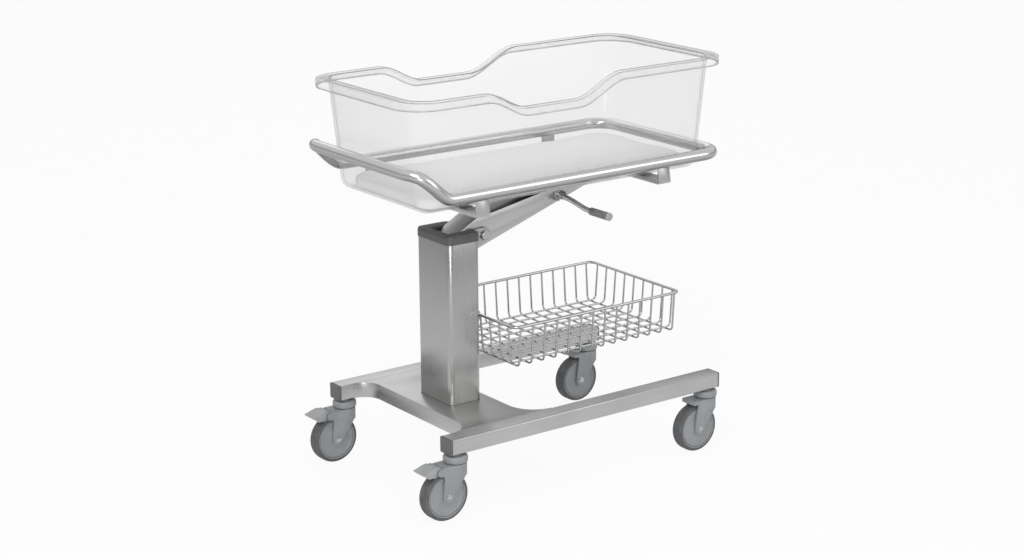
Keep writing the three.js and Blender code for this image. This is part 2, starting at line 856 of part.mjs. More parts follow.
function tub() {
  const edge = tubWall / 2;
  return loft([
    ...floorCurve(0, tubFloorRadius, 0),
    tubRing({ flange: 1, down: tubWall }),
    tubRing({ inset: tubWall, down: tubWall }),
    tubRing({ inset: tubWall, down: tubLip }),
    tubRing({ down: tubLip }),
    tubRing({ down: edge }),
    tubRing({ inset: edge, down: 0 }),
    tubRing({ flange: 1, inset: edge, down: 0 }),
    tubRing({ flange: 1, inset: tubWall, down: edge }),
    ...floorCurve(tubWall, tubFloorRadius - tubWall, tubWall).reverse(),
  ]);
}

// Mattress with a crowned top and drawn-in sides

function mattress() {
  const base = tubBottom + tubWall + seatGap;
  const halfWidth = tubWidth / 2 - tubSideFlange - tubSideDraft - tubWall - mattressSideGap;
  const endInset = tubEndFlange + tubEndDraft + tubWall + mattressEndGap;
  const footX = tubFootX + endInset;
  const headX = tubHeadX - endInset;
  const side = mattressThickness - mattressCrown;
  const stations = [-mattressStation, 0, mattressStation];
  const levels = [
    ...mattressFloorInsets.map((inset) => [inset, 0]),
    ...mattressSideRings.map(([inset, share]) => [inset, side * share]),
    ...mattressCrownRings.map(([inset, share]) => [inset, side + mattressCrown * share]),
  ];
  return loft(levels.map(([inset, height]) => {
    const radius = Math.max(mattressCorner - inset, mattressTightCorner);
    const outline = ringOutline(footX + inset, headX - inset, halfWidth - inset, radius, 6, stations);
    return outline.map(({ x, y }) => new THREE.Vector3(x, y, base + height));
  }));
}

// Wire basket

// A wire bent to a U, from rim to rim, in its own upright plane. Position maps its two coordinates to a point.
function bentWire(topReach, bottomReach, bottom, position) {
  const half = [[topReach, basketRimZ]];
  const steps = 3;
  for (let step = 0; step <= steps; step++) {
    const angle = (Math.PI / 2) * (step / steps);
    const reach = bottomReach - basketBend * (1 - Math.cos(angle));
    half.push([reach, bottom + basketBend * (1 - Math.sin(angle))]);
  }
  const first = half.map(([reach, z]) => position(-reach, z));
  const second = half.map(([reach, z]) => position(reach, z)).reverse();
  return tubeAlong([...first, ...second], meshWire / 2, 5);
}

const basketMiddle = (basketFootX + basketHeadX) / 2;
const basketBottom = basketRimZ - basketDepth;

function basket() {
  const halfLength = (basketHeadX - basketFootX) / 2;
  const halfWidth = basketWidth / 2;
  const wires = [];
  const crossReach = halfLength - crossWireInset;
  for (let wire = 0; wire < crossWires; wire++) {
    const x = basketMiddle - crossReach + (2 * crossReach * wire) / (crossWires - 1);
    wires.push(bentWire(halfWidth, halfWidth - basketTaper, basketBottom, (y, z) => new THREE.Vector3(x, y, z)));
  }
  const longReach = halfWidth - longWireInset;
  const longBottom = basketBottom + meshWire + weldGap;
  for (let wire = 0; wire < longWires; wire++) {
    const y = -longReach + (2 * longReach * wire) / (longWires - 1);
    const place = (x, z) => new THREE.Vector3(basketMiddle + x, y, z);
    wires.push(bentWire(halfLength, halfLength - basketTaper, longBottom, place));
  }
  const outline = ringOutline(basketFootX, basketHeadX, halfWidth, basketCorner, 5);
  const rimPath = outline.map(({ x, y }) => new THREE.Vector3(x, y, basketRimZ));
  return join(tubeLoop(rimPath, rimWire / 2, 8), ...wires);
}

// Bracket on the column's head face, with two ears whose open hooks carry the basket's rim.
function basketBracket() {
  const face = columnHeadFace + seatGap;
  const wirePitch = (basketWidth - 2 * longWireInset) / (longWires - 1);
  const half = wirePitch / 2 + bracketSheet / 2;
  const slot = rimWire / 2 + seatGap;
  const top = basketRimZ + rimWire / 2;
  const plate = boxBetween([face, -half, basketBottom], [face + bracketSheet, half, top]);
  const hookX = basketFootX;
  const ear = new THREE.Shape();
  ear.moveTo(face, basketBottom);
  ear.lineTo(face + bracketSheet, basketBottom);
  ear.lineTo(hookX + slot + bracketHook, basketRimZ - slot - bracketHook);
  ear.lineTo(hookX + slot + bracketHook, top);
  ear.lineTo(hookX + slot, top);
  ear.absarc(hookX, basketRimZ, slot, 0, -Math.PI, true);
  ear.lineTo(hookX - slot, top);
  ear.lineTo(face, top);
  const ears = [-half, half - bracketSheet].map((y) => extrudeAcross(ear, y, y + bracketSheet));
  return join(plate, ...ears);
}

// Casters, each drawn about its own swivel axis with the wheel trailing toward the foot

function casterCollar() {
  const radius = collarDiameter / 2;
  const neck = collarNeckDiameter / 2;
  const bore = swivelStemDiameter / 2 + fitGap;
  const top = collarBottom + collarHeight;
  const boreTop = forkTop + swivelStemLength + fitGap;
  const rounded = [];
  const steps = 2;
  for (let step = 0; step <= steps; step++) {
    const angle = (Math.PI / 2) * (step / steps);
    const swing = collarRound * (1 - Math.sin(angle));
    rounded.push([radius - collarRound + collarRound * Math.cos(angle), top - swing]);
  }
  const profile = [
    [bore, collarBottom], [radius, collarBottom], ...rounded,
    [neck, top], [neck, railBottom], [0, railBottom], [0, boreTop], [bore, boreTop], [bore, collarBottom],
  ];
  return revolveUp(profile, 20);
}

function plainForkOutline() {
  const axleX = -casterTrail;
  const shape = new THREE.Shape();
  const front = forkHeadDiameter / 4;
  shape.moveTo(front, forkTop);
  shape.lineTo(front, forkTop - forkHeadDepth);
  shape.lineTo(axleX + forkArmEnd, wheelRadius);
  shape.absarc(axleX, wheelRadius, forkArmEnd, 0, -Math.PI, true);
  shape.lineTo(-forkArmTop, forkTop - forkTailLip);
  shape.lineTo(-forkCrownTail, forkTop - forkTailLip);
  shape.lineTo(-forkCrownTail, forkTop);
  return shape;
}

function brakeForkOutline() {
  const axleX = -casterTrail;
  const bossX = axleX - pedalPivotBack;
  const bossZ = wheelRadius + pedalPivotAbove;
  const under = bossZ - pedalBossRadius;
  const neckX = axleX - forkArmNeck;
  const front = forkHeadDiameter / 4;
  const shape = new THREE.Shape();
  shape.moveTo(front, forkTop);
  shape.lineTo(front, forkTop - forkHeadDepth);
  shape.lineTo(axleX + forkArmEnd, wheelRadius);
  shape.absarc(axleX, wheelRadius, forkArmEnd, 0, -Math.PI, true);
  shape.lineTo(neckX, under - pedalBossRadius);
  shape.quadraticCurveTo(neckX, under, bossX, under);
  shape.absarc(bossX, bossZ, pedalBossRadius, -Math.PI / 2, -1.5 * Math.PI, true);
  shape.lineTo(bossX + pedalBossRadius, forkTop);
  return shape;
}

function casterFork(braked) {
  const axleX = -casterTrail;
  const cheeks = extrudeAcross(braked ? brakeForkOutline() : plainForkOutline(), -forkOuter, forkOuter, 5);
  const head = rodUp(0, 0, forkHeadDiameter / 2, forkTop - forkHeadDepth, forkTop, 22);
  const stem = rodUp(0, 0, swivelStemDiameter / 2, forkTop - lap, forkTop + swivelStemLength, 16);
  const slot = rodAcross(axleX, wheelRadius, wheelRadius + wheelTopGap, -forkInner, forkInner, 28);
  const axleBore = rodAcross(axleX, wheelRadius, axleDiameter / 2 + fitGap, -forkHeadDiameter, forkHeadDiameter, 16);
  const tools = [slot, axleBore];
  if (braked) {
    const bossX = axleX - pedalPivotBack;
    tools.push(boxBetween(
      [axleX - wheelDiameter, -forkInner, 0],
      [bossX + pedalBossRadius, forkInner, forkTop + lap],
    ));
    const pinReach = forkOuter - lap;
    const pin = rodAcross(bossX, wheelRadius + pedalPivotAbove, pedalPivotPin / 2, -pinReach, pinReach, 12);
    return join(cut(join(cheeks, head, stem), ...tools), pin);
  }
  return cut(join(cheeks, head, stem), ...tools);
}

// The pedal's upper line, from its crest over the brow to the tip.
function pedalTop(x, z) {
  const tip = x - pedalReach;
  const crest = new THREE.Vector2(x - pedalCrestBack, z + pedalCrestRise);
  const brow = new THREE.Vector2(x - pedalBrow, z + pedalCrestRise);
  const slope = new THREE.Vector2(tip + pedalTipSlope, z + pedalTipRise + pedalTipEdge / 2);
  const curve = new THREE.QuadraticBezierCurve(crest, brow, slope);
  const points = curve.getPoints(6).map((point) => [point.x, point.y]);
  return [...points, [tip, z + pedalTipRise], [tip, z + pedalTipRise - pedalTipEdge]];
}

function brakePedal() {
  const axleX = -casterTrail;
  const x = axleX - pedalPivotBack;
  const z = wheelRadius + pedalPivotAbove;
  const root = x + pedalBossRadius - pedalSideGap;
  const jaw = [x - pedalJawBack, z - pedalJawDrop];
  const shoeReach = wheelRadius + pedalTyreGap;
  const shoe = shoeAngles.map((angle) => {
    const turn = THREE.MathUtils.degToRad(angle);
    return [axleX + shoeReach * Math.cos(turn), wheelRadius + shoeReach * Math.sin(turn)];
  });
  const top = pedalTop(x, z);
  const body = polygon([[root, z - pedalSideGap], [root, forkTop - pedalSideGap], ...top, jaw, ...shoe]);
  const billEnd = x - pedalBossRadius - pedalBillGap;
  const billTop = top.filter(([along]) => along < billEnd);
  const bill = polygon([[billEnd, z], [billEnd, billTop[0][1]], ...billTop, jaw]);
  const half = forkInner - pedalSideGap;
  const side = pedalBillWidth / 2;
  const bore = rodAcross(x, z, pedalPivotPin / 2 + fitGap, -forkOuter, forkOuter, 12);
  return cut(join(extrudeAcross(body, -half, half), extrudeAcross(bill, -side, side)), bore);
}

function wheelHub() {
  const rim = wheelRadius - tyreDepth - seatGap;
  const ring = rim - hubRingWidth;
  const bore = axleDiameter / 2 + fitGap;
  const dish = tyreWidth / 2 - hubRecess;
  const side = tyreWidth / 2 - hubRimInset;
  const profile = [
    [bore, -dish], [ring, -dish], [ring, -side], [rim, -side],
    [rim, side], [ring, side], [ring, dish], [bore, dish], [bore, -dish],
  ];
  return revolveWheel(profile, 20).translate(-casterTrail, 0, wheelRadius);
}

function tyre() {
  const inner = wheelRadius - tyreDepth;
  const side = tyreWidth / 2;
  const shoulder = [];
  const steps = 2;
  for (let step = 0; step <= steps; step++) {
    const angle = (Math.PI / 2) * (step / steps);
    shoulder.push([
      wheelRadius - tyreShoulder * (1 - Math.sin(angle)),
      side - tyreShoulder * (1 - Math.cos(angle)),
    ]);
  }
  const other = [...shoulder].reverse().map(([radius, distance]) => [radius, -distance]);
  const profile = [[inner, side], ...shoulder, ...other, [inner, -side], [inner, side]].reverse();
  return revolveWheel(profile, 30).translate(-casterTrail, 0, wheelRadius);
}

function axleBolt() {
  const face = forkOuter + seatGap;
  const x = -casterTrail;
  return join(
    rodAcross(x, wheelRadius, axleDiameter / 2, -face - lap, face + lap, 12),
    rodAcross(x, wheelRadius, axleHeadDiameter / 2, -face - axleHeadHeight, -face, 12),
    rodAcross(x, wheelRadius, axleHeadDiameter / 2, face, face + axleHeadHeight, 12),
  );
}

function caster(place, x, y, braked) {
  const group = new THREE.Group();
  group.position.set(x, y, 0);
  group.add(piece(`caster_collar_${place}`, casterCollar(), 'greyPlastic'));
  group.add(piece(`caster_fork_${place}`, casterFork(braked), 'greyPlastic'));
  group.add(piece(`wheel_hub_${place}`, wheelHub(), 'greyPlastic'));
  group.add(piece(`tyre_${place}`, tyre(), 'tyreRubber'));
  group.add(piece(`axle_bolt_${place}`, axleBolt(), 'polished'));
  if (braked) {
    group.add(piece(`brake_pedal_${place}`, brakePedal(), 'lightPlastic'));
  }
  return group;
}

// Assembly

function base() {
  const group = new THREE.Group();
  [['near', -railY], ['far', railY]].forEach(([side, y]) => {
    const rail = piece(`side_rail_${side}`, sideRail(), 'stainless');
    rail.position.y = y;
    const headCap = piece(`rail_end_cap_${side}_head`, railEndCap(), 'darkPlastic');
    headCap.position.y = y;
    const footCap = piece(`rail_end_cap_${side}_foot`, railEndCap(), 'darkPlastic');
    footCap.position.y = y;
    footCap.rotation.z = Math.PI;
    group.add(rail, headCap, footCap);
    group.add(caster(`${side}_head`, swivelX, y, false));
    group.add(caster(`${side}_foot`, -swivelX, y, true));
  });
  const farLug = piece('pivot_lug_far', pivotLug(), 'stainless');
  farLug.position.y = 2 * armSlot + lugThickness;
  group.add(
    piece('base_deck', baseDeck(), 'stainless'),
    piece('column', column(), 'stainless'),
    piece('column_cap', columnCap(), 'darkPlastic'),
    piece('spring_seat', springSeat(), 'stainless'),
    piece('gas_spring_cylinder', gasCylinder(), 'paintedSteel'),
    piece('gas_spring_rod', gasRod(), 'polished'),
    piece('pivot_lug_near', pivotLug(), 'stainless'),
    farLug,
    piece('pivot_pin', pivotPin(), 'polished'),
    piece('basket_bracket', basketBracket(), 'stainless'),
    piece('wire_basket', basket(), 'polished'),
  );
  return group;
}

function cradle() {
  const group = new THREE.Group();
  group.add(
    piece('tilt_arm', tiltArm(), 'stainless'),
    piece('tail_pin', tailPin(), 'polished'),
    piece('cradle_spine', cradleSpine(), 'stainless'),
    piece('cross_strap_foot', crossStrap(strapFootX), 'stainless'),
    piece('cross_strap_head', crossStrap(strapHeadX), 'stainless'),
    piece('cradle_loop', cradleLoop(), 'polished'),
    piece('lever_bracket', leverBracket(), 'stainless'),
    piece('lever_pin', leverPin(), 'polished'),
    piece('release_lever', releaseLever(), 'polished'),
    piece('lever_grip', leverGrip(), 'darkPlastic'),
    piece('lever_grip_cap', gripCap(), 'lightPlastic'),
    piece('tub', tub(), 'clearPlastic'),
    piece('mattress', mattress(), 'mattressCover'),
  );
  return group;
}

const bassinet = new THREE.Group();
const placed = new THREE.Group();
placed.position.x = frameShift;
placed.add(base(), cradle());
bassinet.add(placed);
bassinet.updateMatrixWorld(true);

export default bassinet;
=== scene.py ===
"""Looks of a hospital bassinet: clear tub, padded mattress, tube cradle, steel column and castered base."""
import logging
import math
from dataclasses import dataclass
from enum import Enum
from typing import ClassVar, Sequence

import bpy
from bpy.types import ID, Material, Mesh, NodeSocket, Object, World
from mathutils import Matrix, Vector


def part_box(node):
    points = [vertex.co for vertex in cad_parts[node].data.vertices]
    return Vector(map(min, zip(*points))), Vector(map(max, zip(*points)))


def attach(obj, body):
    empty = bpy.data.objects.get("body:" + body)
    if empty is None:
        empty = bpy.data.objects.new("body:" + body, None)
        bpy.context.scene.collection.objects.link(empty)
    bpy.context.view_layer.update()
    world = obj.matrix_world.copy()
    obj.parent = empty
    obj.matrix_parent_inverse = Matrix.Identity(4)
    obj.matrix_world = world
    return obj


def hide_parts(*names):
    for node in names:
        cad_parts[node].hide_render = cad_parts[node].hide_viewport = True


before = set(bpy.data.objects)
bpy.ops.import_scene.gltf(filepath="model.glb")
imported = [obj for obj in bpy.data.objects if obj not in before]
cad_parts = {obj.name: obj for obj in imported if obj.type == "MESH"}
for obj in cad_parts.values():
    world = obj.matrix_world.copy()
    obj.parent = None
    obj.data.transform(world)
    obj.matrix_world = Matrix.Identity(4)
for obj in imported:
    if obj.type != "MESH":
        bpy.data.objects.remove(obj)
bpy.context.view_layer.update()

LOG = logging.getLogger("bassinet")
MM = 0.001
WHITE = (1.0, 1.0, 1.0, 1.0)
AXIS_X = Vector((1.0, 0.0, 0.0))
AXIS_Y = Vector((0.0, 1.0, 0.0))
AXIS_Z = Vector((0.0, 0.0, 1.0))
# Places along the cart are measured from the middle of the rails, which end this far from it.
RAIL_END = 336.0 * MM
SHIFT_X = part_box("side_rail_near")[0].x + RAIL_END

Pair = tuple[float, float]
Table = tuple[Pair, ...]
Point = tuple[float, float, float]
Colour = tuple[float, float, float]


def smooth_step(value: float) -> float:
    """Eases a value between 0 and 1."""
    t = min(max(value, 0.0), 1.0)
    return t * t * (3.0 - 2.0 * t)


def quarter(steps: int, start: float = 0.0) -> list[Pair]:
    """Returns the cosine and sine of even steps through a quarter turn, from an angle in degrees."""
    angles = [math.radians(start + 90.0 * step / steps) for step in range(steps + 1)]
    return [(math.cos(angle), math.sin(angle)) for angle in angles]


def round_outline(
    foot: float, head: float, half: float, bend: float, steps: int, stations: Sequence[float] = ()
) -> list[Pair]:
    """Draws a rectangle with round corners, as seen from above.

    Args:
        foot: its lowest X.
        head: its highest X.
        half: half its width.
        bend: the corners' radius.
        steps: the number of facets on a corner.
        stations: further places along both sides, from foot to head.

    Returns:
        Its points, from the near corner at the head by way of the far side.
    """
    near, far = bend - half, half - bend
    corners = (
        (head - bend, near, -90.0, []),
        (head - bend, far, 0.0, [(x, half) for x in reversed(stations)]),
        (foot + bend, far, 90.0, []),
        (foot + bend, near, 180.0, [(x, -half) for x in stations]),
    )
    points: list[Pair] = []
    for x, y, start, side in corners:
        points += [(x + bend * cosine, y + bend * sine) for cosine, sine in quarter(steps, start)]
        points += side
    return points


def profile_at(table: Sequence[Pair], radius: float, along: float) -> list[Pair]:
    """Returns a table of millimetres as a lathe profile, set off from a radius and a place on the axis."""
    return [(radius + reach * MM, along + step * MM) for reach, step in table]


def both_sides(half: Sequence[Pair]) -> list[Pair]:
    """Returns half a lathe profile closed with its mirror image."""
    return [*half, *((reach, -side) for reach, side in reversed(half)), half[0]]


class Grain(Enum):
    """Which way the grinding lines of a steel piece run, as the stretch of their pattern."""

    ALONG = (3.0, 260.0, 260.0)
    ACROSS = (260.0, 3.0, 260.0)
    UP = (260.0, 260.0, 3.0)


class Value:
    """One socket of a node tree. Arithmetic on it adds Math nodes."""

    def __init__(self, sheet: "Sheet", socket: NodeSocket) -> None:
        """Keeps the socket and the sheet that it is on."""
        self.sheet = sheet
        self.socket = socket

    def _math(self, operation: str, *inputs: object) -> "Value":
        """Adds one Math node of these values."""
        return self.sheet.node("Math", dict(enumerate(inputs)), operation=operation)

    def __add__(self, other: object) -> "Value":
        """Adds another value or number."""
        return self._math("ADD", self, other)

    def __sub__(self, other: object) -> "Value":
        """Takes another value or number away."""
        return self._math("SUBTRACT", self, other)

    def __rsub__(self, other: object) -> "Value":
        """Takes this value from a number."""
        return self._math("SUBTRACT", other, self)

    def __mul__(self, other: object) -> "Value":
        """Multiplies by another value or number."""
        return self._math("MULTIPLY", self, other)

    def __pow__(self, other: object) -> "Value":
        """Raises this value to a power."""
        return self._math("POWER", self, other)

    def __abs__(self) -> "Value":
        """Drops the sign."""
        return self._math("ABSOLUTE", self)

    __radd__ = __add__
    __rmul__ = __mul__

    def clipped(self) -> "Value":
        """Keeps the value between 0 and 1."""
        return self.sheet.node("Clamp", {"Value": self})

    def between(self, low: float, high: float) -> "Value":
        """Is 0 below low and 1 above high, with a soft ramp between."""
        inputs = {"Value": self, "From Min": low, "From Max": high}
        return self.sheet.node("MapRange", inputs, interpolation_type="SMOOTHSTEP")


class Sheet:
    """The node tree of one material, or of the sky."""

    def __init__(self, name: str, sky: bool = False) -> None:
        """Starts an empty material or sky.

        Args:
            name: its name.
            sky: whether it is the sky.
        """
        self.owner = (bpy.data.worlds if sky else bpy.data.materials).new(name)
        self.owner.use_nodes = True
        self.tree = self.owner.node_tree
        self.tree.nodes.clear()

    def node(self, kind: str, inputs: dict, output: int | str = 0, **settings: object) -> Value:
        """Adds a node.

        Args:
            kind: the end of its type name.
            inputs: socket name or number to a number, colour or Value.
            output: name or number of the socket that is returned.
            settings: properties set before its sockets.

        Returns:
            The chosen output.
        """
        node = self.tree.nodes.new(f"ShaderNode{kind}")
        for key, value in settings.items():
            setattr(node, key, value)
        for key, value in inputs.items():
            if isinstance(value, Value):
                self.tree.links.new(value.socket, node.inputs[key])
            else:
                node.inputs[key].default_value = value
        return Value(self, node.outputs[output])

    def place(self, scale: Point = (1.0, 1.0, 1.0)) -> Value:
        """Object coordinates, stretched by a scale on each axis."""
        coordinates = self.node("TexCoord", {}, "Object")
        return self.node("Mapping", {"Vector": coordinates, "Scale": scale})

    def noise(self, scale: float, stretch: Point = (1.0, 1.0, 1.0), detail: float = 3.0) -> Value:
        """Noise from 0 to 1 on object coordinates."""
        inputs = {"Vector": self.place(stretch), "Scale": scale, "Detail": detail}
        return self.node("TexNoise", inputs, "Fac")

    def mix(self, factor: object, first: object, second: object) -> Value:
        """Mixes two colours."""
        return self.node("Mix", {0: factor, 6: first, 7: second}, 2, data_type="RGBA")

    def shades(self, factor: Value, colour: Colour, dark: float, light: float) -> Value:
        """Runs from a dark to a light share of a colour."""
        ends = [(*(channel * share for channel in colour), 1.0) for share in (dark, light)]
        return self.mix(factor, *ends)

    def bump(self, height: Value, strength: float, depth: float) -> Value:
        """Turns a height into a normal."""
        return self.node("Bump", {"Height": height, "Strength": strength, "Distance": depth})

    def part(self, vector: Value, axis: int) -> Value:
        """Takes one part of a vector, 0 for X to 2 for Z."""
        return self.node("SeparateXYZ", {0: vector}, axis)

    def ray(self, kind: str) -> Value:
        """Is 1 for light paths of a kind and 0 for others."""
        return self.node("LightPath", {}, kind)

    def surface(self, inputs: dict) -> Material:
        """Ends the material in a Principled shader with these sockets and returns it."""
        return self.end(self.node("BsdfPrincipled", inputs))

    def end(self, shader: Value) -> ID:
        """Links a shader to the output.

        Args:
            shader: the whole surface or background.

        Returns:
            The finished material or sky.
        """
        kind = "World" if isinstance(self.owner, World) else "Material"
        output = self.tree.nodes.new(f"ShaderNodeOutput{kind}")
        self.tree.links.new(shader.socket, output.inputs["Surface"])
        return self.owner


@dataclass(frozen=True)
class SatinSteel:
    """Ground stainless sheet and tube."""

    name: str
    colour: Colour = (0.47, 0.47, 0.466)
    grain: Grain = Grain.ALONG
    roughness: float = 0.34
    contrast: float = 0.12
    relief: float = 0.12
    depth: float = 0.4 * MM

    def material(self) -> Material:
        """Mixes the steel.

        Returns:
            Steel with grinding lines, soft blotches and a trace of handling marks.
        """
        sheet = Sheet(self.name)
        lines = sheet.noise(6.0, self.grain.value, detail=4.0)
        blotches = sheet.noise(9.0, detail=4.0)
        marks = sheet.noise(38.0, detail=6.0).between(0.58, 0.78)
        tone = (lines * 0.55 + blotches * 0.45).between(0.25, 0.75)
        return sheet.surface({
            "Base Color": sheet.shades(tone, self.colour, 1.0 - self.contrast, 1.0 + self.contrast),
            "Metallic": 1.0,
            "Roughness": self.roughness - 0.05 + lines * 0.10 + marks * 0.05,
            "Anisotropic": 0.35,
            "Normal": sheet.bump(lines, self.relief, self.depth),
        })


@dataclass(frozen=True)
class Chrome:
    """Bright plated or polished round stock."""

    name: str
    colour: Colour = (0.58, 0.585, 0.59)
    # Share of the colour kept on faces that point down: painted shade.
    shade: float = 0.36
    roughness: float = 0.16
    depth: float = 0.3 * MM

    def material(self) -> Material:
        """Mixes the plating.

        Returns:
            Hazy, faintly scratched plating, with painted shade: darker on the faces that point down.
        """
        sheet = Sheet(self.name)
        haze = sheet.noise(60.0, detail=5.0)
        scratches = sheet.noise(20.0, (6.0, 40.0, 40.0), detail=6.0).between(0.55, 0.8)
        normal = sheet.node("TexCoord", {}, "Normal")
        # Painted shade: the base colour darkens on faces that point down, standing in for shade and dark
        # reflections below.
        facing_up = sheet.part(normal, 2) * 0.5 + 0.5
        return sheet.surface({
            "Base Color": sheet.shades(facing_up.between(0.12, 0.62), self.colour, self.shade, 1.0),
            "Metallic": 1.0,
            "Roughness": self.roughness + haze * 0.05 + scratches * 0.05,
            "Normal": sheet.bump(haze, 0.04, self.depth),
        })


@dataclass(frozen=True)
class Moulded:
    """Injection-moulded plastic with a fine spark-eroded grain."""

    name: str
    colour: Colour
    roughness: float = 0.48
    grain: float = 0.16
    depth: float = 0.3 * MM

    def material(self) -> Material:
        """Mixes the plastic.

        Returns:
            Plastic with grain, faint flow marks and dust in the grain.
        """
        sheet = Sheet(self.name)
        grain = sheet.noise(1400.0, detail=2.0)
        flow = sheet.noise(26.0, detail=4.0)
        tone = (grain * 0.25 + flow * 0.75).between(0.3, 0.7)
        return sheet.surface({
            "Base Color": sheet.shades(tone, self.colour, 0.92, 1.07),
            "Roughness": self.roughness - 0.05 + grain * 0.12 + flow * 0.06,
            "Normal": sheet.bump(grain, self.grain, self.depth),
        })


@dataclass(frozen=True)
class Rubber:
    """Grey caster tread rubber."""

    name: str
    colour: Colour = (0.092, 0.094, 0.098)
    depth: float = 0.4 * MM

    def material(self) -> Material:
        """Mixes the rubber.

        Returns:
            Rubber with a dusty bloom and a fine skin.
        """
        sheet = Sheet(self.name)
        bloom = sheet.noise(70.0, detail=6.0)
        skin = sheet.noise(900.0, detail=2.0)
        return sheet.surface({
            "Base Color": sheet.shades(bloom.between(0.42, 0.75), self.colour, 0.88, 1.35),
            "Roughness": 0.62 + bloom * 0.2,
            "Normal": sheet.bump(skin, 0.2, self.depth),
        })


@dataclass(frozen=True)
class PaintedEdgeLine:
    """A dark line of painted shade along the tub where its wall turns."""

    place: float
    half_width: float
    strength: float


@dataclass(frozen=True)
class ClearPlastic:
    """Clear moulded wall with painted shade along its turned edges and at a slant. The V coordinate runs
    along its profile.
    """

    name: str
    marks: tuple[PaintedEdgeLine, ...]
    colour: Colour = (0.60, 0.605, 0.61)
    # Colour of the painted shade: the dark edge lines and the darkening at a slant.
    line: Colour = (0.085, 0.087, 0.09)
    body: float = 0.095
    edge: float = 1.0
    sharpness: float = 4.5

    def material(self) -> Material:
        """Mixes the wall.

        Returns:
            Plastic that is almost clear face on, with painted shade: grey at a slant and dark along the
            moulded edges.
        """
        sheet = Sheet(self.name)
        slant = sheet.node("LayerWeight", {"Blend": 0.5}, "Facing") ** self.sharpness
        haze = sheet.noise(14.0, detail=5.0)
        line_variation = sheet.noise(55.0, detail=6.0).between(0.35, 0.7)
        along = sheet.part(sheet.node("UVMap", {}), 1)
        # Painted shade: dark lines along the rings where the wall turns, standing in for light bent at the
        # turned edges.
        near = [1.0 - abs(along - mark.place).between(0.0, mark.half_width) for mark in self.marks]
        painted_edge_shade = sum(line * mark.strength for line, mark in zip(near, self.marks))
        lines = (painted_edge_shade * (0.8 + line_variation * 0.2)).clipped()
        alpha = self.body + slant * self.edge + haze * 0.02 + lines
        tone = sheet.shades(haze, self.colour, 0.96, 1.05)
        return sheet.surface({
            # Painted shade: the base colour runs to the dark line colour along the edge lines and at a
            # slant to the view.
            "Base Color": sheet.mix((lines + slant * 0.9).clipped(), tone, (*self.line, 1.0)),
            "Roughness": 0.07 + haze * 0.03,
            "Coat Weight": 0.6,
            "Alpha": alpha.clipped(),
        })


@dataclass(frozen=True)
class CoatedCloth:
    """White wipe-clean cover with a fine plain weave under its coating."""

    name: str
    colour: Colour = (0.92, 0.92, 0.915)
    threads: float = 420.0
    depth: float = 1.2 * MM

    def material(self) -> Material:
        """Mixes the cover.

        Returns:
            Cloth with its weave, a few soft creases and a slight sheen.
        """
        sheet = Sheet(self.name)
        weave = {"Vector": sheet.place(), "Scale": self.threads, "Distortion": 0.6}
        warp, weft = (sheet.node("TexWave", weave, 1, bands_direction=way) for way in ("X", "Y"))
        crease = sheet.noise(16.0, (1.0, 2.2, 1.0), detail=4.0)
        thread = warp * 0.5 + weft * 0.5
        return sheet.surface({
            "Base Color": sheet.shades(thread * 0.3 + crease * 0.7, self.colour, 0.95, 1.0),
            "Roughness": 0.62 + thread * 0.12,
            "Sheen Weight": 0.15,
            "Normal": sheet.bump(thread * 0.35 + crease * 0.65, 0.35, self.depth),
        })


@dataclass(frozen=True)
class StudioFloor:
    """Pale seamless floor that keeps the shadow. Reflections of it fade from near to far."""

    name: str = "pale_floor"
    colour: Colour = (0.82, 0.82, 0.82)
    whiteness: float = 0.92
    near: float = 0.25
    far: float = 2.6
    far_share: float = 0.3

    def material(self) -> Material:
        """Mixes the floor.

        Returns:
            White to the camera, white near by in reflections, and plain paper to the light.
        """
        sheet = Sheet(self.name)
        tone = sheet.shades(sheet.noise(3.0, detail=5.0), self.colour, 0.99, 1.0)
        paper = sheet.node("BsdfDiffuse", {"Color": tone})
        white = sheet.node("Emission", {"Color": WHITE, "Strength": 1.0})
        reach = sheet.node("VectorMath", {0: sheet.place()}, "Value", operation="LENGTH")
        fading = 1.0 - reach.between(self.near, self.far) * (1.0 - self.far_share)
        direct = (sheet.ray("Is Camera Ray") + sheet.ray("Is Transmission Ray")).clipped()
        factor = (direct + sheet.ray("Is Glossy Ray") * fading).clipped() * self.whiteness
        return sheet.end(sheet.node("MixShader", {0: factor, 1: paper, 2: white}))


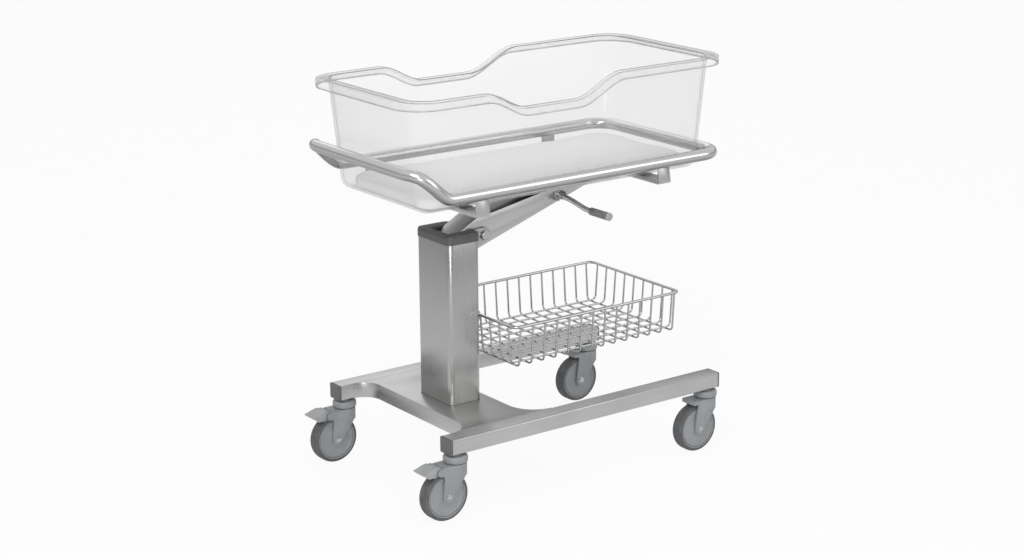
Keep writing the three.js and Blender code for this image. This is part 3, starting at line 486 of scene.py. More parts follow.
class Bench:
    """Modelling by hand: one piece is selected, shaped and set down at a time."""

    MERGE: ClassVar[float] = 1e-6
    FACET_MERGE: ClassVar[float] = 1e-5
    FLAT_ANGLE: ClassVar[float] = 0.6
    CREASE: ClassVar[float] = 38.0
    TUBE_CREASE: ClassVar[float] = 50.0

    @staticmethod
    def clear() -> None:
        """Leaves edit mode and deselects everything."""
        if bpy.context.object and bpy.context.object.mode != "OBJECT":
            bpy.ops.object.mode_set(mode="OBJECT")
        bpy.ops.object.select_all(action="DESELECT")

    @classmethod
    def pick(cls, piece: Object) -> None:
        """Selects one piece alone and makes it active.

        Args:
            piece: the piece to work on.
        """
        cls.clear()
        piece.select_set(True)
        bpy.context.view_layer.objects.active = piece

    @classmethod
    def edit(cls, piece: Object) -> None:
        """Opens a piece in edit mode with all of it selected.

        Args:
            piece: the piece to work on.
        """
        cls.pick(piece)
        bpy.ops.object.mode_set(mode="EDIT")
        bpy.ops.mesh.select_all(action="SELECT")

    @staticmethod
    def close() -> None:
        """Goes back to object mode."""
        bpy.ops.object.mode_set(mode="OBJECT")

    @staticmethod
    def label(piece: Object, name: str) -> Object:
        """Names a piece and its mesh, and returns it."""
        piece.name = piece.data.name = name
        return piece

    @classmethod
    def clean(cls, piece: Object, flat: bool = False) -> None:
        """Merges doubled points and turns the faces outward.

        Args:
            piece: the piece, changed in place.
            flat: whether it is a solid of loose triangles, whose flat facets are joined too.
        """
        cls.edit(piece)
        bpy.ops.mesh.remove_doubles(threshold=cls.FACET_MERGE if flat else cls.MERGE)
        bpy.ops.mesh.select_all(action="SELECT")
        if flat:
            bpy.ops.mesh.dissolve_limited(angle_limit=math.radians(cls.FLAT_ANGLE))
            bpy.ops.mesh.select_all(action="SELECT")
        bpy.ops.mesh.normals_make_consistent(inside=False)
        cls.close()

    @classmethod
    def chain(cls, name: str, points: Sequence[Vector], closed: bool = False) -> Object:
        """Draws a chain of edges by pulling one point along.

        Args:
            name: the piece's name.
            points: the corners, in metres.
            closed: whether the last point joins the first.

        Returns:
            The chain.
        """
        cls.clear()
        bpy.ops.mesh.primitive_plane_add(size=MM)
        piece = cls.label(bpy.context.object, name)
        cls.edit(piece)
        bpy.ops.mesh.merge(type="CENTER")
        bpy.ops.transform.translate(value=points[0])
        stops = [*points, points[0]] if closed else list(points)
        for start, stop in zip(stops, stops[1:]):
            bpy.ops.mesh.extrude_vertices_move(TRANSFORM_OT_translate={"value": stop - start})
        if closed:
            bpy.ops.mesh.select_all(action="SELECT")
            bpy.ops.mesh.remove_doubles(threshold=cls.MERGE)
        cls.close()
        return piece

    @classmethod
    def tube(
        cls, name: str, points: Sequence[Vector], radius: float, sides: int, closed: bool = False
    ) -> Object:
        """Draws round stock along a path.

        Args:
            name: the piece's name.
            points: the middle line, in metres.
            radius: the stock's radius.
            sides: the number of sides, even.
            closed: whether the path is a loop.

        Returns:
            The tube as a mesh.
        """
        cls.pick(cls.chain(name, points, closed))
        bpy.ops.object.convert(target="CURVE")
        curve = bpy.context.object.data
        curve.bevel_depth = radius
        curve.bevel_resolution = sides // 2 - 2
        curve.use_fill_caps = not closed
        bpy.ops.object.convert(target="MESH")
        piece = bpy.context.object
        cls.clean(piece)
        cls.smooth(piece, cls.TUBE_CREASE)
        return piece

    @classmethod
    def turned(cls, name: str, profile: Sequence[Pair], centre: Vector, axis: Vector, steps: int) -> Object:
        """Turns a profile on a lathe.

        Args:
            name: the piece's name.
            profile: radius and distance along the axis, in metres.
            centre: the point on the axis that distances start from.
            axis: the axis, along Y or Z.
            steps: the number of sides.

        Returns:
            The turned piece.
        """
        out = AXIS_X if abs(axis.z) > 0.5 else AXIS_Z
        piece = cls.chain(name, [centre + out * radius + axis * along for radius, along in profile])
        cls.edit(piece)
        bpy.ops.mesh.spin(steps=steps, angle=2.0 * math.pi, center=centre, axis=axis)
        cls.close()
        cls.clean(piece)
        cls.smooth(piece, cls.CREASE)
        return piece

    @classmethod
    def rolled(cls, name: str, rings: Sequence[Sequence[Vector]]) -> Object:
        """Rolls a flat grid into a skin.

        Args:
            name: the piece's name.
            rings: closed rings, all of as many points.

        Returns:
            The skin. U runs round a ring and V from ring to ring.
        """
        cls.clear()
        around = len(rings[0])
        bpy.ops.mesh.primitive_grid_add(x_subdivisions=around, y_subdivisions=len(rings) - 1, size=1.0)
        piece = cls.label(bpy.context.object, name)
        for index, vertex in enumerate(piece.data.vertices):
            vertex.co = rings[index // (around + 1)][index % (around + 1) % around]
        cls.clean(piece)
        cls.smooth(piece, cls.TUBE_CREASE)
        return piece

    @classmethod
    def smooth(cls, piece: Object, angle: float) -> None:
        """Shades a piece smooth, but not over edges sharper than an angle."""
        cls.pick(piece)
        bpy.ops.object.shade_smooth_by_angle(angle=math.radians(angle))

    @classmethod
    def bevel(cls, piece: Object, width: float, segments: int = 2, limit: float = 32.0) -> None:
        """Rounds the sharp edges of a piece.

        Args:
            piece: the piece, changed in place.
            width: how far the edges are rounded.
            segments: the number of facets on a rounded edge.
            limit: the angle in degrees that an edge is sharp from.
        """
        cls.pick(piece)
        rounding = piece.modifiers.new("rounding", "BEVEL")
        rounding.width = width
        rounding.segments = segments
        rounding.limit_method = "ANGLE"
        rounding.angle_limit = math.radians(limit)
        rounding.use_clamp_overlap = True
        bpy.ops.object.modifier_apply(modifier=rounding.name)

    @classmethod
    def refined(cls, node: str, width: float, segments: int = 2) -> Object:
        """Takes a copy of a solid as the rough piece, joins its facets and rounds its edges.

        Args:
            node: the solid's node.
            width: how far the edges are rounded.
            segments: the number of facets on a rounded edge.

        Returns:
            The finished piece.
        """
        piece = cls.copy(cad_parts[node].data, f"{node}_body")
        cls.pick(piece)
        if piece.data.has_custom_normals:
            bpy.ops.mesh.customdata_custom_splitnormals_clear()
        cls.clean(piece, flat=True)
        cls.bevel(piece, width, segments)
        cls.smooth(piece, cls.CREASE)
        return piece

    @classmethod
    def join(cls, name: str, pieces: Sequence[Object]) -> Object:
        """Joins pieces into one mesh.

        Args:
            name: the joined piece's name.
            pieces: what is joined, the first of them kept.

        Returns:
            The joined piece.
        """
        cls.pick(pieces[0])
        for piece in pieces:
            piece.select_set(True)
        bpy.ops.object.join()
        return cls.label(bpy.context.object, name)

    @staticmethod
    def copy(mesh: Mesh, name: str, offset: Vector | None = None) -> Object:
        """Makes a piece of a copied mesh.

        Args:
            mesh: the mesh, which is left as it is.
            name: the new piece's name.
            offset: how far the copy is moved, if it is.

        Returns:
            The new piece.
        """
        piece = Bench.label(bpy.data.objects.new(name, mesh.copy()), name)
        if offset is not None:
            piece.data.transform(Matrix.Translation(offset))
        bpy.context.scene.collection.objects.link(piece)
        return piece


class Shop:
    """The finishes, each made once, and the hand-over of a finished piece to its body."""

    def __init__(self) -> None:
        """Makes every finish."""
        upright = SatinSteel("satin_steel_upright", (0.40, 0.40, 0.397), Grain.UP, 0.28, 0.06, 0.05)
        self.steel_along = SatinSteel("satin_steel_along").material()
        self.steel_across = SatinSteel("satin_steel_across", grain=Grain.ACROSS).material()
        self.steel_up = upright.material()
        self.weld = SatinSteel("weld_steel", (0.20, 0.197, 0.193), Grain.ACROSS, 0.5).material()
        self.chrome = Chrome("bright_tube").material()
        # The wire plating carries the same painted shade on faces that point down.
        self.wire = Chrome("bright_wire", (0.48, 0.485, 0.49), 0.5, 0.2).material()
        self.grey = Moulded("grey_plastic", (0.255, 0.265, 0.275)).material()
        self.light = Moulded("light_plastic", (0.315, 0.322, 0.328), 0.42).material()
        self.dark = Moulded("dark_plastic", (0.084, 0.085, 0.087), 0.5).material()
        self.grip = Moulded("grip_plastic", (0.15, 0.151, 0.154), 0.34).material()
        self.end_cap = Moulded("end_cap_plastic", (0.105, 0.107, 0.11), 0.5).material()
        self.rubber = Rubber("tread_rubber").material()
        self.paint = Moulded("black_paint", (0.03, 0.031, 0.032), 0.3, 0.05).material()
        self.cloth = CoatedCloth("mattress_cover").material()

    @staticmethod
    def dress(piece: Object, material: Material, slot: str, body: str, *nodes: str) -> None:
        """Gives a piece its finish and its body, and hides the nodes it stands for.

        Args:
            piece: the finished mesh.
            material: its finish.
            slot: not used.
            body: the body that it moves with.
            nodes: the solids that it replaces, none for an added detail.
        """
        piece.data.materials.clear()
        piece.data.materials.append(material)
        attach(piece, body)
        if nodes:
            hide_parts(*nodes)
        LOG.info("%s on %s", piece.name, body)

    def refine(
        self, node: str, material: Material, slot: str, body: str, edge: float, facets: int = 2
    ) -> None:
        """Dresses a copy of a solid with its edges rounded, in the solid's place."""
        self.dress(Bench.refined(node, edge, facets), material, slot, body, node)

    @staticmethod
    def paint_node(node: str, material: Material) -> None:
        """Puts a finish on a solid that stays as it is.

        Args:
            node: the solid's node.
            material: its finish.
        """
        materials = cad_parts[node].data.materials
        materials.clear()
        materials.append(material)
        LOG.info("%s keeps its solid", node)


@dataclass
class Base:
    """Side rails, end caps, deck, column, its cap and what the column carries."""

    shop: Shop
    edge: float = 0.5 * MM
    cap_edge: float = 1.2 * MM
    pin_edge: float = 1.0 * MM
    seam_radius: float = 1.2 * MM
    column_corner: float = 11.0 * MM

    def build(self) -> None:
        """Models and dresses the base, with the gas spring inside the column."""
        shop = self.shop
        steel = {"base_deck": shop.steel_across, "column": shop.steel_up, "basket_bracket": shop.steel_up}
        for side in ("near", "far"):
            steel[f"side_rail_{side}"] = shop.steel_along
            steel[f"pivot_lug_{side}"] = shop.steel_up
            for end in ("head", "foot"):
                cap = f"rail_end_cap_{side}_{end}"
                shop.refine(cap, shop.end_cap, "dark_plastic", "base", self.cap_edge, facets=3)
        for node, finish in steel.items():
            shop.refine(node, finish, "stainless", "base", self.edge)
        shop.refine("column_cap", shop.dark, "dark_plastic", "base", self.edge, facets=3)
        shop.refine("pivot_pin", shop.wire, "polished", "base", self.pin_edge, facets=3)
        self.seam()
        shop.paint_node("spring_seat", shop.steel_across)
        shop.paint_node("gas_spring_cylinder", shop.paint)
        shop.paint_node("gas_spring_rod", shop.wire)

    def seam(self) -> None:
        """The weld round the foot of the column."""
        low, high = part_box("column")
        outline = round_outline(low.x, high.x, (high.y - low.y) / 2.0, self.column_corner, steps=6)
        path = [Vector((x, y, low.z)) for x, y in outline]
        seam = Bench.tube("column_seam", path, self.seam_radius, sides=8, closed=True)
        self.shop.dress(seam, self.shop.weld, "stainless", "base")


@dataclass
class Caster:
    """One swivel caster. The braked ones have a pedal. The tables are in millimetres."""

    # From the collar's outer radius and its foot: a dust groove.
    COLLAR_FOOT: ClassVar[Table] = ((-2.2, 0.0), (-1.2, 0.8), (-1.2, 1.8), (-0.2, 2.4), (0.0, 3.2))
    # From the axle, the raised ring or the tyre's seat, and from the hub's face.
    HUB_BOSS: ClassVar[Table] = ((4.5, 1.0), (15.0, 1.0), (16.5, 0.0))
    HUB_RING: ClassVar[Table] = (
        (-5.0, 0.0), (-4.0, 1.2), (-1.0, 1.4), (0.0, 0.8), (0.4, -1.2), (1.2, -1.2), (1.6, 0.9)
    )
    HUB_LIP: ClassVar[Table] = ((-0.3, 1.2),)
    # From the tyre's seat and its side.
    TYRE_FOOT: ClassVar[Table] = ((0.0, -0.6), (1.0, 0.0))
    # From the axle and the bolt's ends.
    WASHER: ClassVar[Table] = ((0.0, -3.0), (7.0, -3.0), (7.0, -2.2), (6.4, -1.8), (0.0, -1.8))
    NUT: ClassVar[Table] = ((0.0, -1.8), (5.6, -1.8), (5.6, -0.5), (4.6, 0.0), (0.0, 0.0))

    shop: Shop
    place: str
    collar_height: float = 14.0 * MM
    collar_round: float = 5.0 * MM
    neck: float = 12.0 * MM
    bore: float = 7.3 * MM
    wheel_radius: float = 50.0 * MM
    tyre_depth: float = 7.0 * MM
    tyre_width: float = 28.0 * MM
    tyre_round: float = 7.0 * MM
    tyre_crown: float = 0.86
    ring_radius: float = 39.0 * MM
    dish: float = 2.0 * MM
    fork_edge: float = 1.4 * MM
    pedal_edge: float = 1.8 * MM
    shaft: float = 4.0 * MM
    shaft_recess: float = 0.5 * MM
    nut_edge: float = 0.3 * MM
    hub_sides: int = 64
    tyre_sides: int = 72
    washer_sides: int = 32
    nut_sides: int = 6

    @property
    def axle(self) -> Vector:
        """The middle of the wheel."""
        low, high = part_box(f"axle_bolt_{self.place}")
        return (low + high) / 2.0

    def build(self) -> None:
        """Models and dresses the caster."""
        shop = self.shop
        place = self.place
        fork, body = f"caster_fork_{place}", f"caster_{place}"
        shop.refine(fork, shop.grey, "grey_plastic", body, self.fork_edge, facets=3)
        self.collar()
        self.wheel()
        self.bolt()
        if place.endswith("foot"):
            pedal, body = f"brake_pedal_{place}", f"pedal_{place}"
            shop.refine(pedal, shop.light, "light_plastic", body, self.pedal_edge, facets=3)

    def collar(self) -> None:
        """The round swivel housing, with a soft upper edge and a dust groove."""
        node = f"caster_collar_{self.place}"
        low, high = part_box(node)
        radius = (high.x - low.x) / 2.0
        height = high.z - low.z
        soft = self.collar_round
        profile = [(self.bore, 0.0), *profile_at(self.COLLAR_FOOT, radius, 0.0)]
        for cosine, sine in quarter(steps=8):
            profile.append((radius - soft * (1.0 - cosine), self.collar_height - soft * (1.0 - sine)))
        profile += [(self.neck, self.collar_height), (self.neck, height)]
        profile += [(self.bore, height), (self.bore, 0.0)]
        centre = Vector(((low.x + high.x) / 2.0, (low.y + high.y) / 2.0, low.z))
        collar = Bench.turned(f"{node}_body", profile, centre, AXIS_Z, steps=48)
        self.shop.dress(collar, self.shop.grey, "grey_plastic", "base", node)

    def wheel(self) -> None:
        """Hub with a raised ring and a groove near its rim, and the tyre moulded round it."""
        shop = self.shop
        seat = self.wheel_radius - self.tyre_depth
        side = self.tyre_width / 2.0
        face = side - self.dish
        hub = profile_at(self.HUB_BOSS, 0.0, face)
        hub += profile_at(self.HUB_RING, self.ring_radius, face)
        hub += profile_at(self.HUB_LIP, seat, face)
        tyre = profile_at(self.TYRE_FOOT, seat, side)
        for cosine, sine in quarter(steps=7):
            reach = self.wheel_radius - self.tyre_round * (1.0 - sine) * self.tyre_crown
            tyre.append((reach, side - self.tyre_round * (1.0 - cosine)))
        parts = (
            ("wheel_hub", hub, self.hub_sides, shop.grey, "grey_plastic"),
            ("tyre", tyre, self.tyre_sides, shop.rubber, "tyre_rubber"),
        )
        for part, half, sides, finish, slot in parts:
            node = f"{part}_{self.place}"
            piece = Bench.turned(f"{node}_body", both_sides(half), self.axle, AXIS_Y, sides)
            shop.dress(piece, finish, slot, f"wheel_{self.place}", node)

    def bolt(self) -> None:
        """The axle bolt, with a washer and a chamfered hexagon head at each side."""
        node = f"axle_bolt_{self.place}"
        low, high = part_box(node)
        half = (high.y - low.y) / 2.0
        stop = half - self.shaft_recess
        shaft = [(0.0, -stop), (self.shaft, -stop), (self.shaft, stop), (0.0, stop)]
        pieces = [Bench.turned(f"{node}_shaft", shaft, self.axle, AXIS_Y, steps=24)]
        for side in (-1.0, 1.0):
            for table, sides in ((self.WASHER, self.washer_sides), (self.NUT, self.nut_sides)):
                profile = profile_at(table, 0.0, half)
                pieces.append(Bench.turned(f"{node}_end", profile, self.axle, AXIS_Y * side, sides))
            Bench.bevel(pieces[-1], self.nut_edge)
        bolt = Bench.join(f"{node}_body", pieces)
        self.shop.dress(bolt, self.shop.wire, "polished", f"caster_{self.place}", node)


@dataclass
class Cradle:
    """Tilting arm, spine, straps and the bent tube loop."""

    shop: Shop
    edge: float = 0.6 * MM
    tube_radius: float = 12.0 * MM
    rise: float = 53.0 * MM
    rise_length: float = 83.0 * MM
    rise_steps: int = 8
    corner: float = 45.0 * MM

    def build(self) -> None:
        """Models and dresses the cradle."""
        shop = self.shop
        steel = {
            "tilt_arm": shop.steel_along,
            "cradle_spine": shop.steel_along,
            "cross_strap_foot": shop.steel_across,
            "cross_strap_head": shop.steel_across,
            "lever_bracket": shop.steel_up,
        }
        for node, finish in steel.items():
            shop.refine(node, finish, "stainless", "cradle", self.edge)
        shop.paint_node("tail_pin", shop.wire)
        loop = Bench.tube("cradle_loop_tube", self.path(), self.tube_radius, sides=24, closed=True)
        shop.dress(loop, shop.chrome, "polished", "cradle", "cradle_loop")

    def path(self) -> list[Vector]:
        """Draws the loop.

        Returns:
            Its middle line, flat and then rising to the handle at the foot.
        """
        low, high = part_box("cradle_loop")
        radius = self.tube_radius
        foot, head = low.x + radius, high.x - radius
        half = (high.y - low.y) / 2.0 - radius
        bend = self.corner
        stride = (self.rise_length - bend) / self.rise_steps
        stations = [foot + bend + stride * step for step in range(1, self.rise_steps + 1)]
        path = []
        for x, y in round_outline(foot, head, half, bend, steps=14, stations=stations):
            lift = self.rise * smooth_step((foot + self.rise_length - x) / self.rise_length)
            path.append(Vector((x, y, low.z + radius + lift)))
        return path


@dataclass
class ReleaseLever:
    """Plated lever with a ringed grip and a light end cap, under the near side."""

    # From the grip's radius and its inner end, a groove's start and its outer end, in millimetres.
    INNER_END: ClassVar[Table] = ((-0.6, 0.0), (0.0, 0.8))
    GROOVE: ClassVar[Table] = ((0.0, 0.0), (-0.5, 0.4), (-0.5, 1.2), (0.0, 1.6))
    OUTER_END: ClassVar[Table] = ((0.0, -2.5), (-1.4, 0.0))

    shop: Shop
    edge: float = 0.4 * MM
    cap_edge: float = 1.2 * MM
    bore: float = 5.8 * MM
    grip_radius: float = 8.0 * MM
    grooves: int = 7
    first_groove: float = 0.25
    grooved_share: float = 0.5

    def build(self) -> None:
        """Models and dresses the lever."""
        shop = self.shop
        shop.paint_node("lever_pin", shop.wire)
        shop.refine("release_lever", shop.chrome, "polished", "lever", self.edge)
        low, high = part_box("lever_grip")
        centre = Vector(((low.x + high.x) / 2.0, low.y, (low.z + high.z) / 2.0))
        length = high.y - low.y
        profile = [(self.bore, 0.0), *profile_at(self.INNER_END, self.grip_radius, 0.0)]
        for groove in range(self.grooves):
            share = self.first_groove + self.grooved_share * groove / self.grooves
            profile += profile_at(self.GROOVE, self.grip_radius, length * share)
        profile += profile_at(self.OUTER_END, self.grip_radius, length)
        profile += [(self.bore, length), (self.bore, 0.0)]
        grip = Bench.turned("lever_grip_body", profile, centre, AXIS_Y, steps=32)
        shop.dress(grip, shop.grip, "dark_plastic", "lever", "lever_grip")
        shop.refine("lever_grip_cap", shop.light, "light_plastic", "lever", self.cap_edge, facets=3)


@dataclass
class Basket:
    """Welded wire basket with a thicker rim."""

    shop: Shop
    rim_radius: float = 3.0 * MM
    wire_radius: float = 2.0 * MM
    taper: float = 5.0 * MM
    bend: float = 10.0 * MM
    corner: float = 14.0 * MM
    cross_inset: float = 14.0 * MM
    long_inset: float = 23.0 * MM
    cross_wires: int = 14
    long_wires: int = 9
    depth: float = 83.0 * MM

    def build(self) -> None:
        """Models and dresses the basket."""
        low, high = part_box("wire_basket")
        foot, head = low.x + self.rim_radius, high.x - self.rim_radius
        half = (high.y - low.y) / 2.0 - self.rim_radius
        reach = (head - foot) / 2.0
        top = Vector(((foot + head) / 2.0, 0.0, high.z - self.rim_radius))
        rim = [Vector((x, y, top.z)) for x, y in round_outline(foot, head, half, self.corner, steps=8)]
        pieces = [Bench.tube("basket_rim", rim, self.rim_radius, sides=14, closed=True)]
        cross = self.bent(top, AXIS_Y * half, self.depth)
        pieces += self.row(cross, self.cross_wires, AXIS_X * (reach - self.cross_inset))
        lengthwise = self.bent(top, AXIS_X * reach, self.depth - 2.0 * self.wire_radius)
        pieces += self.row(lengthwise, self.long_wires, AXIS_Y * (half - self.long_inset))
        basket = Bench.join("wire_basket_wires", pieces)
        self.shop.dress(basket, self.shop.wire, "polished", "base", "wire_basket")

    def row(self, path: Sequence[Vector], count: int, span: Vector) -> list[Object]:
        """Makes one wire and copies it to even places.

        Args:
            path: the middle wire's path.
            count: the number of wires.
            span: from the middle wire to the last.

        Returns:
            The wires.
        """
        first = Bench.tube("basket_wire", path, self.wire_radius, sides=10)
        shares = [2.0 * number / (count - 1) - 1.0 for number in range(count)]
        wires = [Bench.copy(first.data, "basket_wire_copy", span * share) for share in shares]
        bpy.data.objects.remove(first)
        return wires

    def bent(self, top: Vector, reach: Vector, depth: float) -> list[Vector]:
        """Bends a wire to a U.

        Args:
            top: the middle of the rim.
            reach: from there to the wire's end on the rim.
            depth: how far its flat stretch lies below the rim.

        Returns:
            The path from rim to rim.
        """
        across = reach.normalized()
        half = [(reach.length, 0.0)]
        for cosine, sine in quarter(steps=6):
            side = reach.length - self.taper - self.bend * (1.0 - cosine)
            half.append((side, self.bend * (1.0 - sine) - depth))
        sides = [*((-side, z) for side, z in half), *reversed(half)]
        return [top + across * side + AXIS_Z * z for side, z in sides]


@dataclass
class Tub:
    """Clear contoured tub with a rolled rim."""

    # Ring of the rim, half width along the profile and strength of each dark line of painted shade where
    # the wall turns.
    PAINTED_EDGE_LINES: ClassVar[tuple[tuple[float, float, float], ...]] = (
        (1.0, 0.012, 0.25), (6.0, 0.012, 0.80), (9.0, 0.012, 0.60), (12.5, 0.026, 1.30)
    )

    shop: Shop
    wall: float = 4.0 * MM
    end_flange: float = 26.0 * MM
    side_flange: float = 17.0 * MM
    lip: float = 17.0 * MM
    end_draft: float = 20.0 * MM
    side_draft: float = 18.0 * MM
    corner: float = 66.0 * MM
    floor_radius: float = 24.0 * MM
    head_height: float = 231.0 * MM
    dip_height: float = 188.0 * MM
    foot_height: float = 223.0 * MM
    head_rise_x: float = 108.0 * MM
    dip_head_x: float = -8.0 * MM
    dip_foot_x: float = -126.0 * MM
    foot_rise_x: float = -224.0 * MM
    corner_steps: int = 12
    rise_steps: int = 14
    turn_steps: int = 8

    def __post_init__(self) -> None:
        """Takes the outer box from the solid."""
        self.low, self.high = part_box("tub")

    def build(self) -> None:
        """Models and dresses the tub."""
        wall = self.wall
        edge = wall / 2.0
        outside = self.floor_turn(0.0)
        inside = self.floor_turn(wall)
        # Shares of flange and draft, inset, and depth below the rim: over the lip and back to the inside.
        rim = (
            (1.0, 0.03, 0.0, wall + 6.0 * MM),
            (1.0, 0.0, -0.8 * MM, wall + 2.0 * MM),
            (1.0, 0.0, -2.5 * MM, wall),
            (0.0, 0.0, wall + 2.0 * MM, wall),
            (0.0, 0.0, wall, wall + 2.0 * MM),
            (0.0, 0.0, wall, self.lip),
            (0.0, 0.0, 0.0, self.lip),
            (0.0, 0.0, 0.0, wall),
            (0.0, 0.0, 0.4 * MM, edge),
            (0.0, 0.0, 1.4 * MM, 0.6 * MM),
            (0.0, 0.0, wall, 0.0),
            (1.0, 0.0, -1.0 * MM, 0.0),
            (1.0, 0.0, edge, 0.6 * MM),
            (1.0, 0.0, wall - 0.6 * MM, edge),
            (1.0, 0.02, wall, wall + 3.0 * MM),
        )
        lip = [self.ring(flange, draft, inset, down=down) for flange, draft, inset, down in rim]
        rings = [*outside, *lip, *reversed(inside)]
        # Painted shade: dark lines on these rings of the rim.
        marks = tuple(
            PaintedEdgeLine((len(outside) + ring) / (len(rings) - 1), half_width, strength)
            for ring, half_width, strength in self.PAINTED_EDGE_LINES
        )
        tub = Bench.rolled("tub_shell", rings)
        self.shop.dress(tub, ClearPlastic("clear_plastic", marks).material(), "clear_plastic", "tub", "tub")

    def rim_height(self, x: float) -> float:
        """Draws the rim's curve.

        Args:
            x: a place along the tub.

        Returns:
            The rim's height there.
        """
        place = x - SHIFT_X
        head = smooth_step((place - self.dip_head_x) / (self.head_rise_x - self.dip_head_x))
        foot = smooth_step((self.dip_foot_x - place) / (self.dip_foot_x - self.foot_rise_x))
        rise = (self.head_height - self.dip_height) * head + (self.foot_height - self.dip_height) * foot
        return self.low.z + self.dip_height + rise

    def stations(self) -> list[float]:
        """Spaces out points where the rim bends.

        Returns:
            Their places along the sides, from foot to head.
        """
        slopes = ((self.foot_rise_x, self.dip_foot_x), (self.dip_head_x, self.head_rise_x))
        shares = [step / self.rise_steps for step in range(self.rise_steps + 1)]
        return [SHIFT_X + start + (stop - start) * share for start, stop in slopes for share in shares]

    def ring(
        self, flange: float, draft: float, inset: float, up: float | None = None, down: float = 0.0
    ) -> list[Vector]:
        """Draws one ring of the tub's skin.

        Args:
            flange: share of the flange that it is drawn in by.
            draft: share of the walls' draft that it is drawn in by.
            inset: further distance that it is drawn in by.
            up: height above the tub's bottom, if it is level.
            down: depth below the rim otherwise.

        Returns:
            Its points, head end first.
        """
        ends = flange * self.end_flange + draft * self.end_draft + inset
        sides = flange * self.side_flange + draft * self.side_draft + inset
        bend = max(self.corner - sides, self.floor_radius / 2.0)
        half = (self.high.y - self.low.y) / 2.0 - sides
        foot, head = self.low.x + ends, self.high.x - ends
        points = round_outline(foot, head, half, bend, self.corner_steps, self.stations())
        if up is not None:
            return [Vector((x, y, self.low.z + up)) for x, y in points]
        return [Vector((x, y, self.rim_height(x) - down)) for x, y in points]

    def floor_turn(self, inset: float) -> list[list[Vector]]:
        """Draws the floor and its rounded turn into the walls.

        Args:
            inset: how far inside the tub's outer skin it is.

        Returns:
            The rings, from the middle of the floor outwards.
        """
        radius = self.floor_radius - inset
        rings = []
        for cosine, sine in quarter(self.turn_steps):
            height = inset + radius * (1.0 - cosine)
            rings.append(self.ring(1.0, 1.0, inset + radius * (1.0 - sine), up=height))
        middle = (self.low + self.high) / 2.0
        pole = Vector((middle.x, middle.y, self.low.z + inset))
        return [[pole] * len(rings[0]), *rings]


@dataclass
class Mattress:
    """Foam mattress in a coated cover."""

    shop: Shop
    voxel: float = 6.0 * MM
    spread: float = 4.0 * MM
    foam_share: float = 0.72
    cap: float = 8.0 * MM
    corner: float = 42.0 * MM
    edge: float = 5.0 * MM
    pressure: float = 4.0
    frames: int = 20
    turn_radius: float = 20.0 * MM
    turn_gap: float = 8.0 * MM
    crease: float = 60.0

    def build(self) -> None:
        """Models, swells and dresses the mattress."""
        low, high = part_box("mattress")
        pad = self.block(low, high)
        self.swell(pad, low.z, high.z)
        self.seat(pad, low, high)
        Bench.smooth(pad, self.crease)
        self.shop.dress(pad, self.shop.cloth, "mattress_cover", "mattress", "mattress")

    def block(self, low: Vector, high: Vector) -> Object:
        """Cuts the foam, thinner than the finished pad and a little wider.

        Args:
            low: lowest corner of the space it may fill.
            high: highest corner of the space.

        Returns:
            A plate with round corners, on a fine even skin.
        """
        Bench.clear()
        size = high - low
        bpy.ops.mesh.primitive_cube_add(size=1.0, location=(low + high) / 2.0)
        pad = Bench.label(bpy.context.object, "mattress_pad")
        pad.scale = (size.x + 2.0 * self.spread, size.y + 2.0 * self.spread, size.z * self.foam_share)
        bpy.ops.object.transform_apply(location=True, rotation=False, scale=True)
        Bench.edit(pad)
        bpy.ops.mesh.select_mode(type="EDGE")
        bpy.ops.mesh.select_all(action="DESELECT")
        Bench.close()
        for edge in pad.data.edges:
            start, stop = (pad.data.vertices[index].co for index in edge.vertices)
            edge.select = abs(start.z - stop.z) > size.z * 0.5
        bpy.ops.object.mode_set(mode="EDIT")
        bpy.ops.mesh.bevel(offset=self.corner, segments=10, affect="EDGES")
        bpy.ops.mesh.select_mode(type="VERT")
        Bench.close()
        Bench.bevel(pad, self.edge, segments=4, limit=50.0)
        pad.data.remesh_voxel_size = self.voxel
        Bench.pick(pad)
        bpy.ops.object.voxel_remesh()
        lowest = min(vertex.co.z for vertex in pad.data.vertices)
        pad.data.transform(Matrix.Translation((0.0, 0.0, low.z - lowest)))
        return pad

    def swell(self, pad: Object, floor: float, ceiling: float) -> None:
        """Swells the cover with cloth under pressure, no further than the cap, flat underneath.

        Args:
            pad: the foam, changed in place.
            floor: the height that it lies on.
            ceiling: the height that it stays under.
        """
        scene = bpy.context.scene
        before = [vertex.co.copy() for vertex in pad.data.vertices]
        cloth = pad.modifiers.new("swell", "CLOTH")
        cloth.settings.use_pressure = True
        cloth.settings.uniform_pressure_force = self.pressure
        cloth.settings.effector_weights.gravity = 0.0
        cloth.point_cache.frame_start = 1
        cloth.point_cache.frame_end = self.frames
        for number in range(1, self.frames + 1):
            scene.frame_set(number)
        Bench.pick(pad)
        bpy.ops.object.modifier_apply(modifier=cloth.name)
        scene.frame_set(1)
        for vertex, start in zip(pad.data.vertices, before):
            move = vertex.co - start
            if move.length > self.cap:
                move *= self.cap / move.length
            place = start + move
            place.z = min(max(place.z, floor), ceiling)
            vertex.co = place
        pad.data.update()

    def seat(self, pad: Object, low: Vector, high: Vector) -> None:
        """Draws the pad's lower edge in, so that it lies clear of the tub's rounded turn.

        Args:
            pad: the pad, changed in place.
            low: lowest corner of the space it may fill.
            high: highest corner of the space.
        """
        for vertex in pad.data.vertices:
            rise = 1.0 - min((vertex.co.z - low.z) / self.turn_radius, 1.0)
            turn = self.turn_radius * (1.0 - math.sqrt(max(1.0 - rise * rise, 0.0)))
            inset = max(turn - self.turn_gap, 0.0)
            vertex.co.x = min(max(vertex.co.x, low.x + inset), high.x - inset)
            vertex.co.y = min(max(vertex.co.y, low.y + inset), high.y - inset)
        pad.data.update()


@dataclass(frozen=True)
class Lamp:
    """A square soft lamp."""

    name: str
    place: Point
    size: float
    power: float


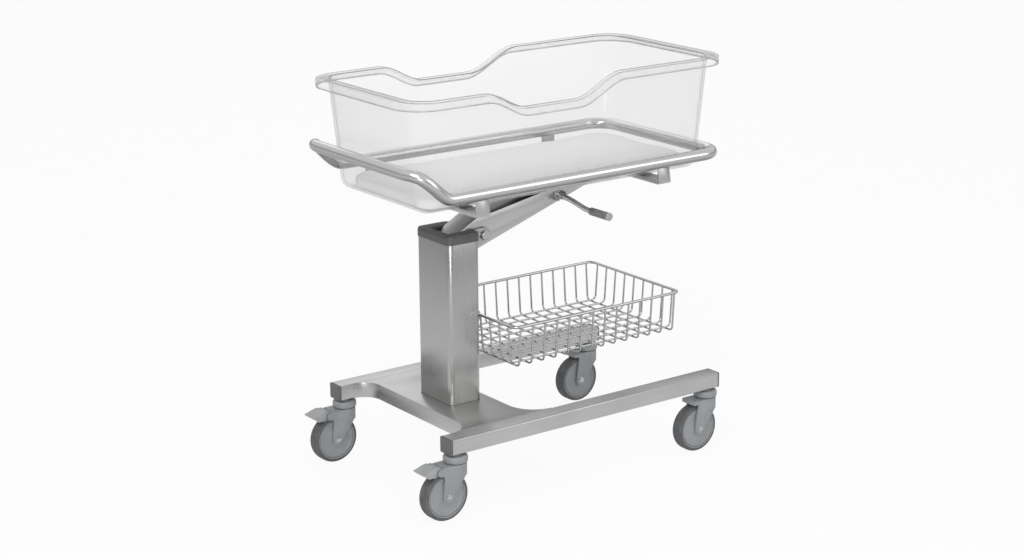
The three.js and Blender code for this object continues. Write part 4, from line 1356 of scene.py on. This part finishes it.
@dataclass
class Studio:
    """Floor, soft light and the camera."""

    floor_half: float = 40.0
    floor_drop: float = 0.2 * MM
    lens: float = 75.34
    sensor: float = 36.0
    camera_place: Point = (-2.5115, -3.3896, 1.5849)
    azimuth: float = -36.17
    elevation: float = 16.0
    roll: float = -0.37
    sky: float = 0.62
    mirrored_sky: float = 0.85
    mirrored_horizon: float = 0.30
    horizon_top: float = 0.34
    aim: Point = (0.0, 0.0, 0.45)
    lamps: tuple[Lamp, ...] = (
        Lamp("key_light", (-3.2, -2.6, 3.6), 2.6, 95.0),
        Lamp("fill_light", (2.6, -4.2, 2.4), 3.0, 45.0),
        Lamp("back_light", (1.5, 3.6, 3.4), 3.0, 15.0),
        Lamp("corner_light", (-2.2, -3.0, 0.9), 0.45, 26.0),
    )

    def build(self) -> None:
        """Sets the stage."""
        self.floor()
        self.dome()
        for lamp in self.lamps:
            self.hang(lamp)
        self.camera()
        bpy.context.scene.view_settings.view_transform = "Standard"

    def floor(self) -> None:
        """A wide pale floor just under the wheels."""
        Bench.clear()
        bpy.ops.mesh.primitive_plane_add(size=2.0 * self.floor_half, location=(0.0, 0.0, -self.floor_drop))
        floor = bpy.context.object
        floor.name = "studio_floor"
        floor.data.materials.append(StudioFloor().material())

    def dome(self) -> None:
        """An even sky, dimmer towards the horizon in reflections and white to the camera."""
        sheet = Sheet("soft_sky", sky=True)
        height = sheet.part(sheet.node("TexCoord", {}, "Generated"), 2)
        mirrored = sheet.node("MapRange", {
            "Value": height,
            "From Max": self.horizon_top,
            "To Min": self.mirrored_horizon,
            "To Max": self.mirrored_sky,
        })
        strength: object = self.sky
        for kind, level in (("Is Glossy Ray", mirrored), ("Is Camera Ray", 1.0)):
            inputs = {"Factor": sheet.ray(kind), "A": strength, "B": level}
            strength = sheet.node("Mix", inputs, "Result")
        background = sheet.node("Background", {"Color": WHITE, "Strength": strength})
        bpy.context.scene.world = sheet.end(background)

    def hang(self, lamp: Lamp) -> None:
        """Hangs a lamp, turned to the cart.

        Args:
            lamp: its name, place, size and power.
        """
        light = bpy.data.lights.new(lamp.name, "AREA")
        light.size = lamp.size
        light.energy = lamp.power
        holder = bpy.data.objects.new(lamp.name, light)
        holder.location = lamp.place
        way = Vector(self.aim) - Vector(lamp.place)
        holder.rotation_euler = way.to_track_quat("-Z", "Y").to_euler()
        bpy.context.scene.collection.objects.link(holder)

    def camera(self) -> None:
        """The camera at the photograph's angle."""
        data = bpy.data.cameras.new("camera")
        data.lens = self.lens
        data.sensor_width = self.sensor
        camera = bpy.data.objects.new("camera", data)
        turn = Matrix.Rotation(math.radians(self.azimuth), 4, "Z")
        tilt = Matrix.Rotation(math.radians(90.0 - self.elevation), 4, "X")
        roll = Matrix.Rotation(math.radians(self.roll), 4, "Z")
        place = Vector(self.camera_place) + AXIS_X * SHIFT_X
        camera.matrix_world = Matrix.Translation(place) @ turn @ tilt @ roll
        bpy.context.scene.collection.objects.link(camera)
        bpy.context.scene.camera = camera


def main() -> None:
    """Builds every sub-assembly in order."""
    logging.basicConfig(level=logging.INFO, format="%(name)s: %(message)s")
    Studio().build()
    shop = Shop()
    Base(shop).build()
    for place in ("near_foot", "near_head", "far_foot", "far_head"):
        Caster(shop, place).build()
    for assembly in (Cradle, ReleaseLever, Basket, Tub, Mattress):
        assembly(shop).build()
    Bench.clear()


if __name__ == "__main__":
    main()
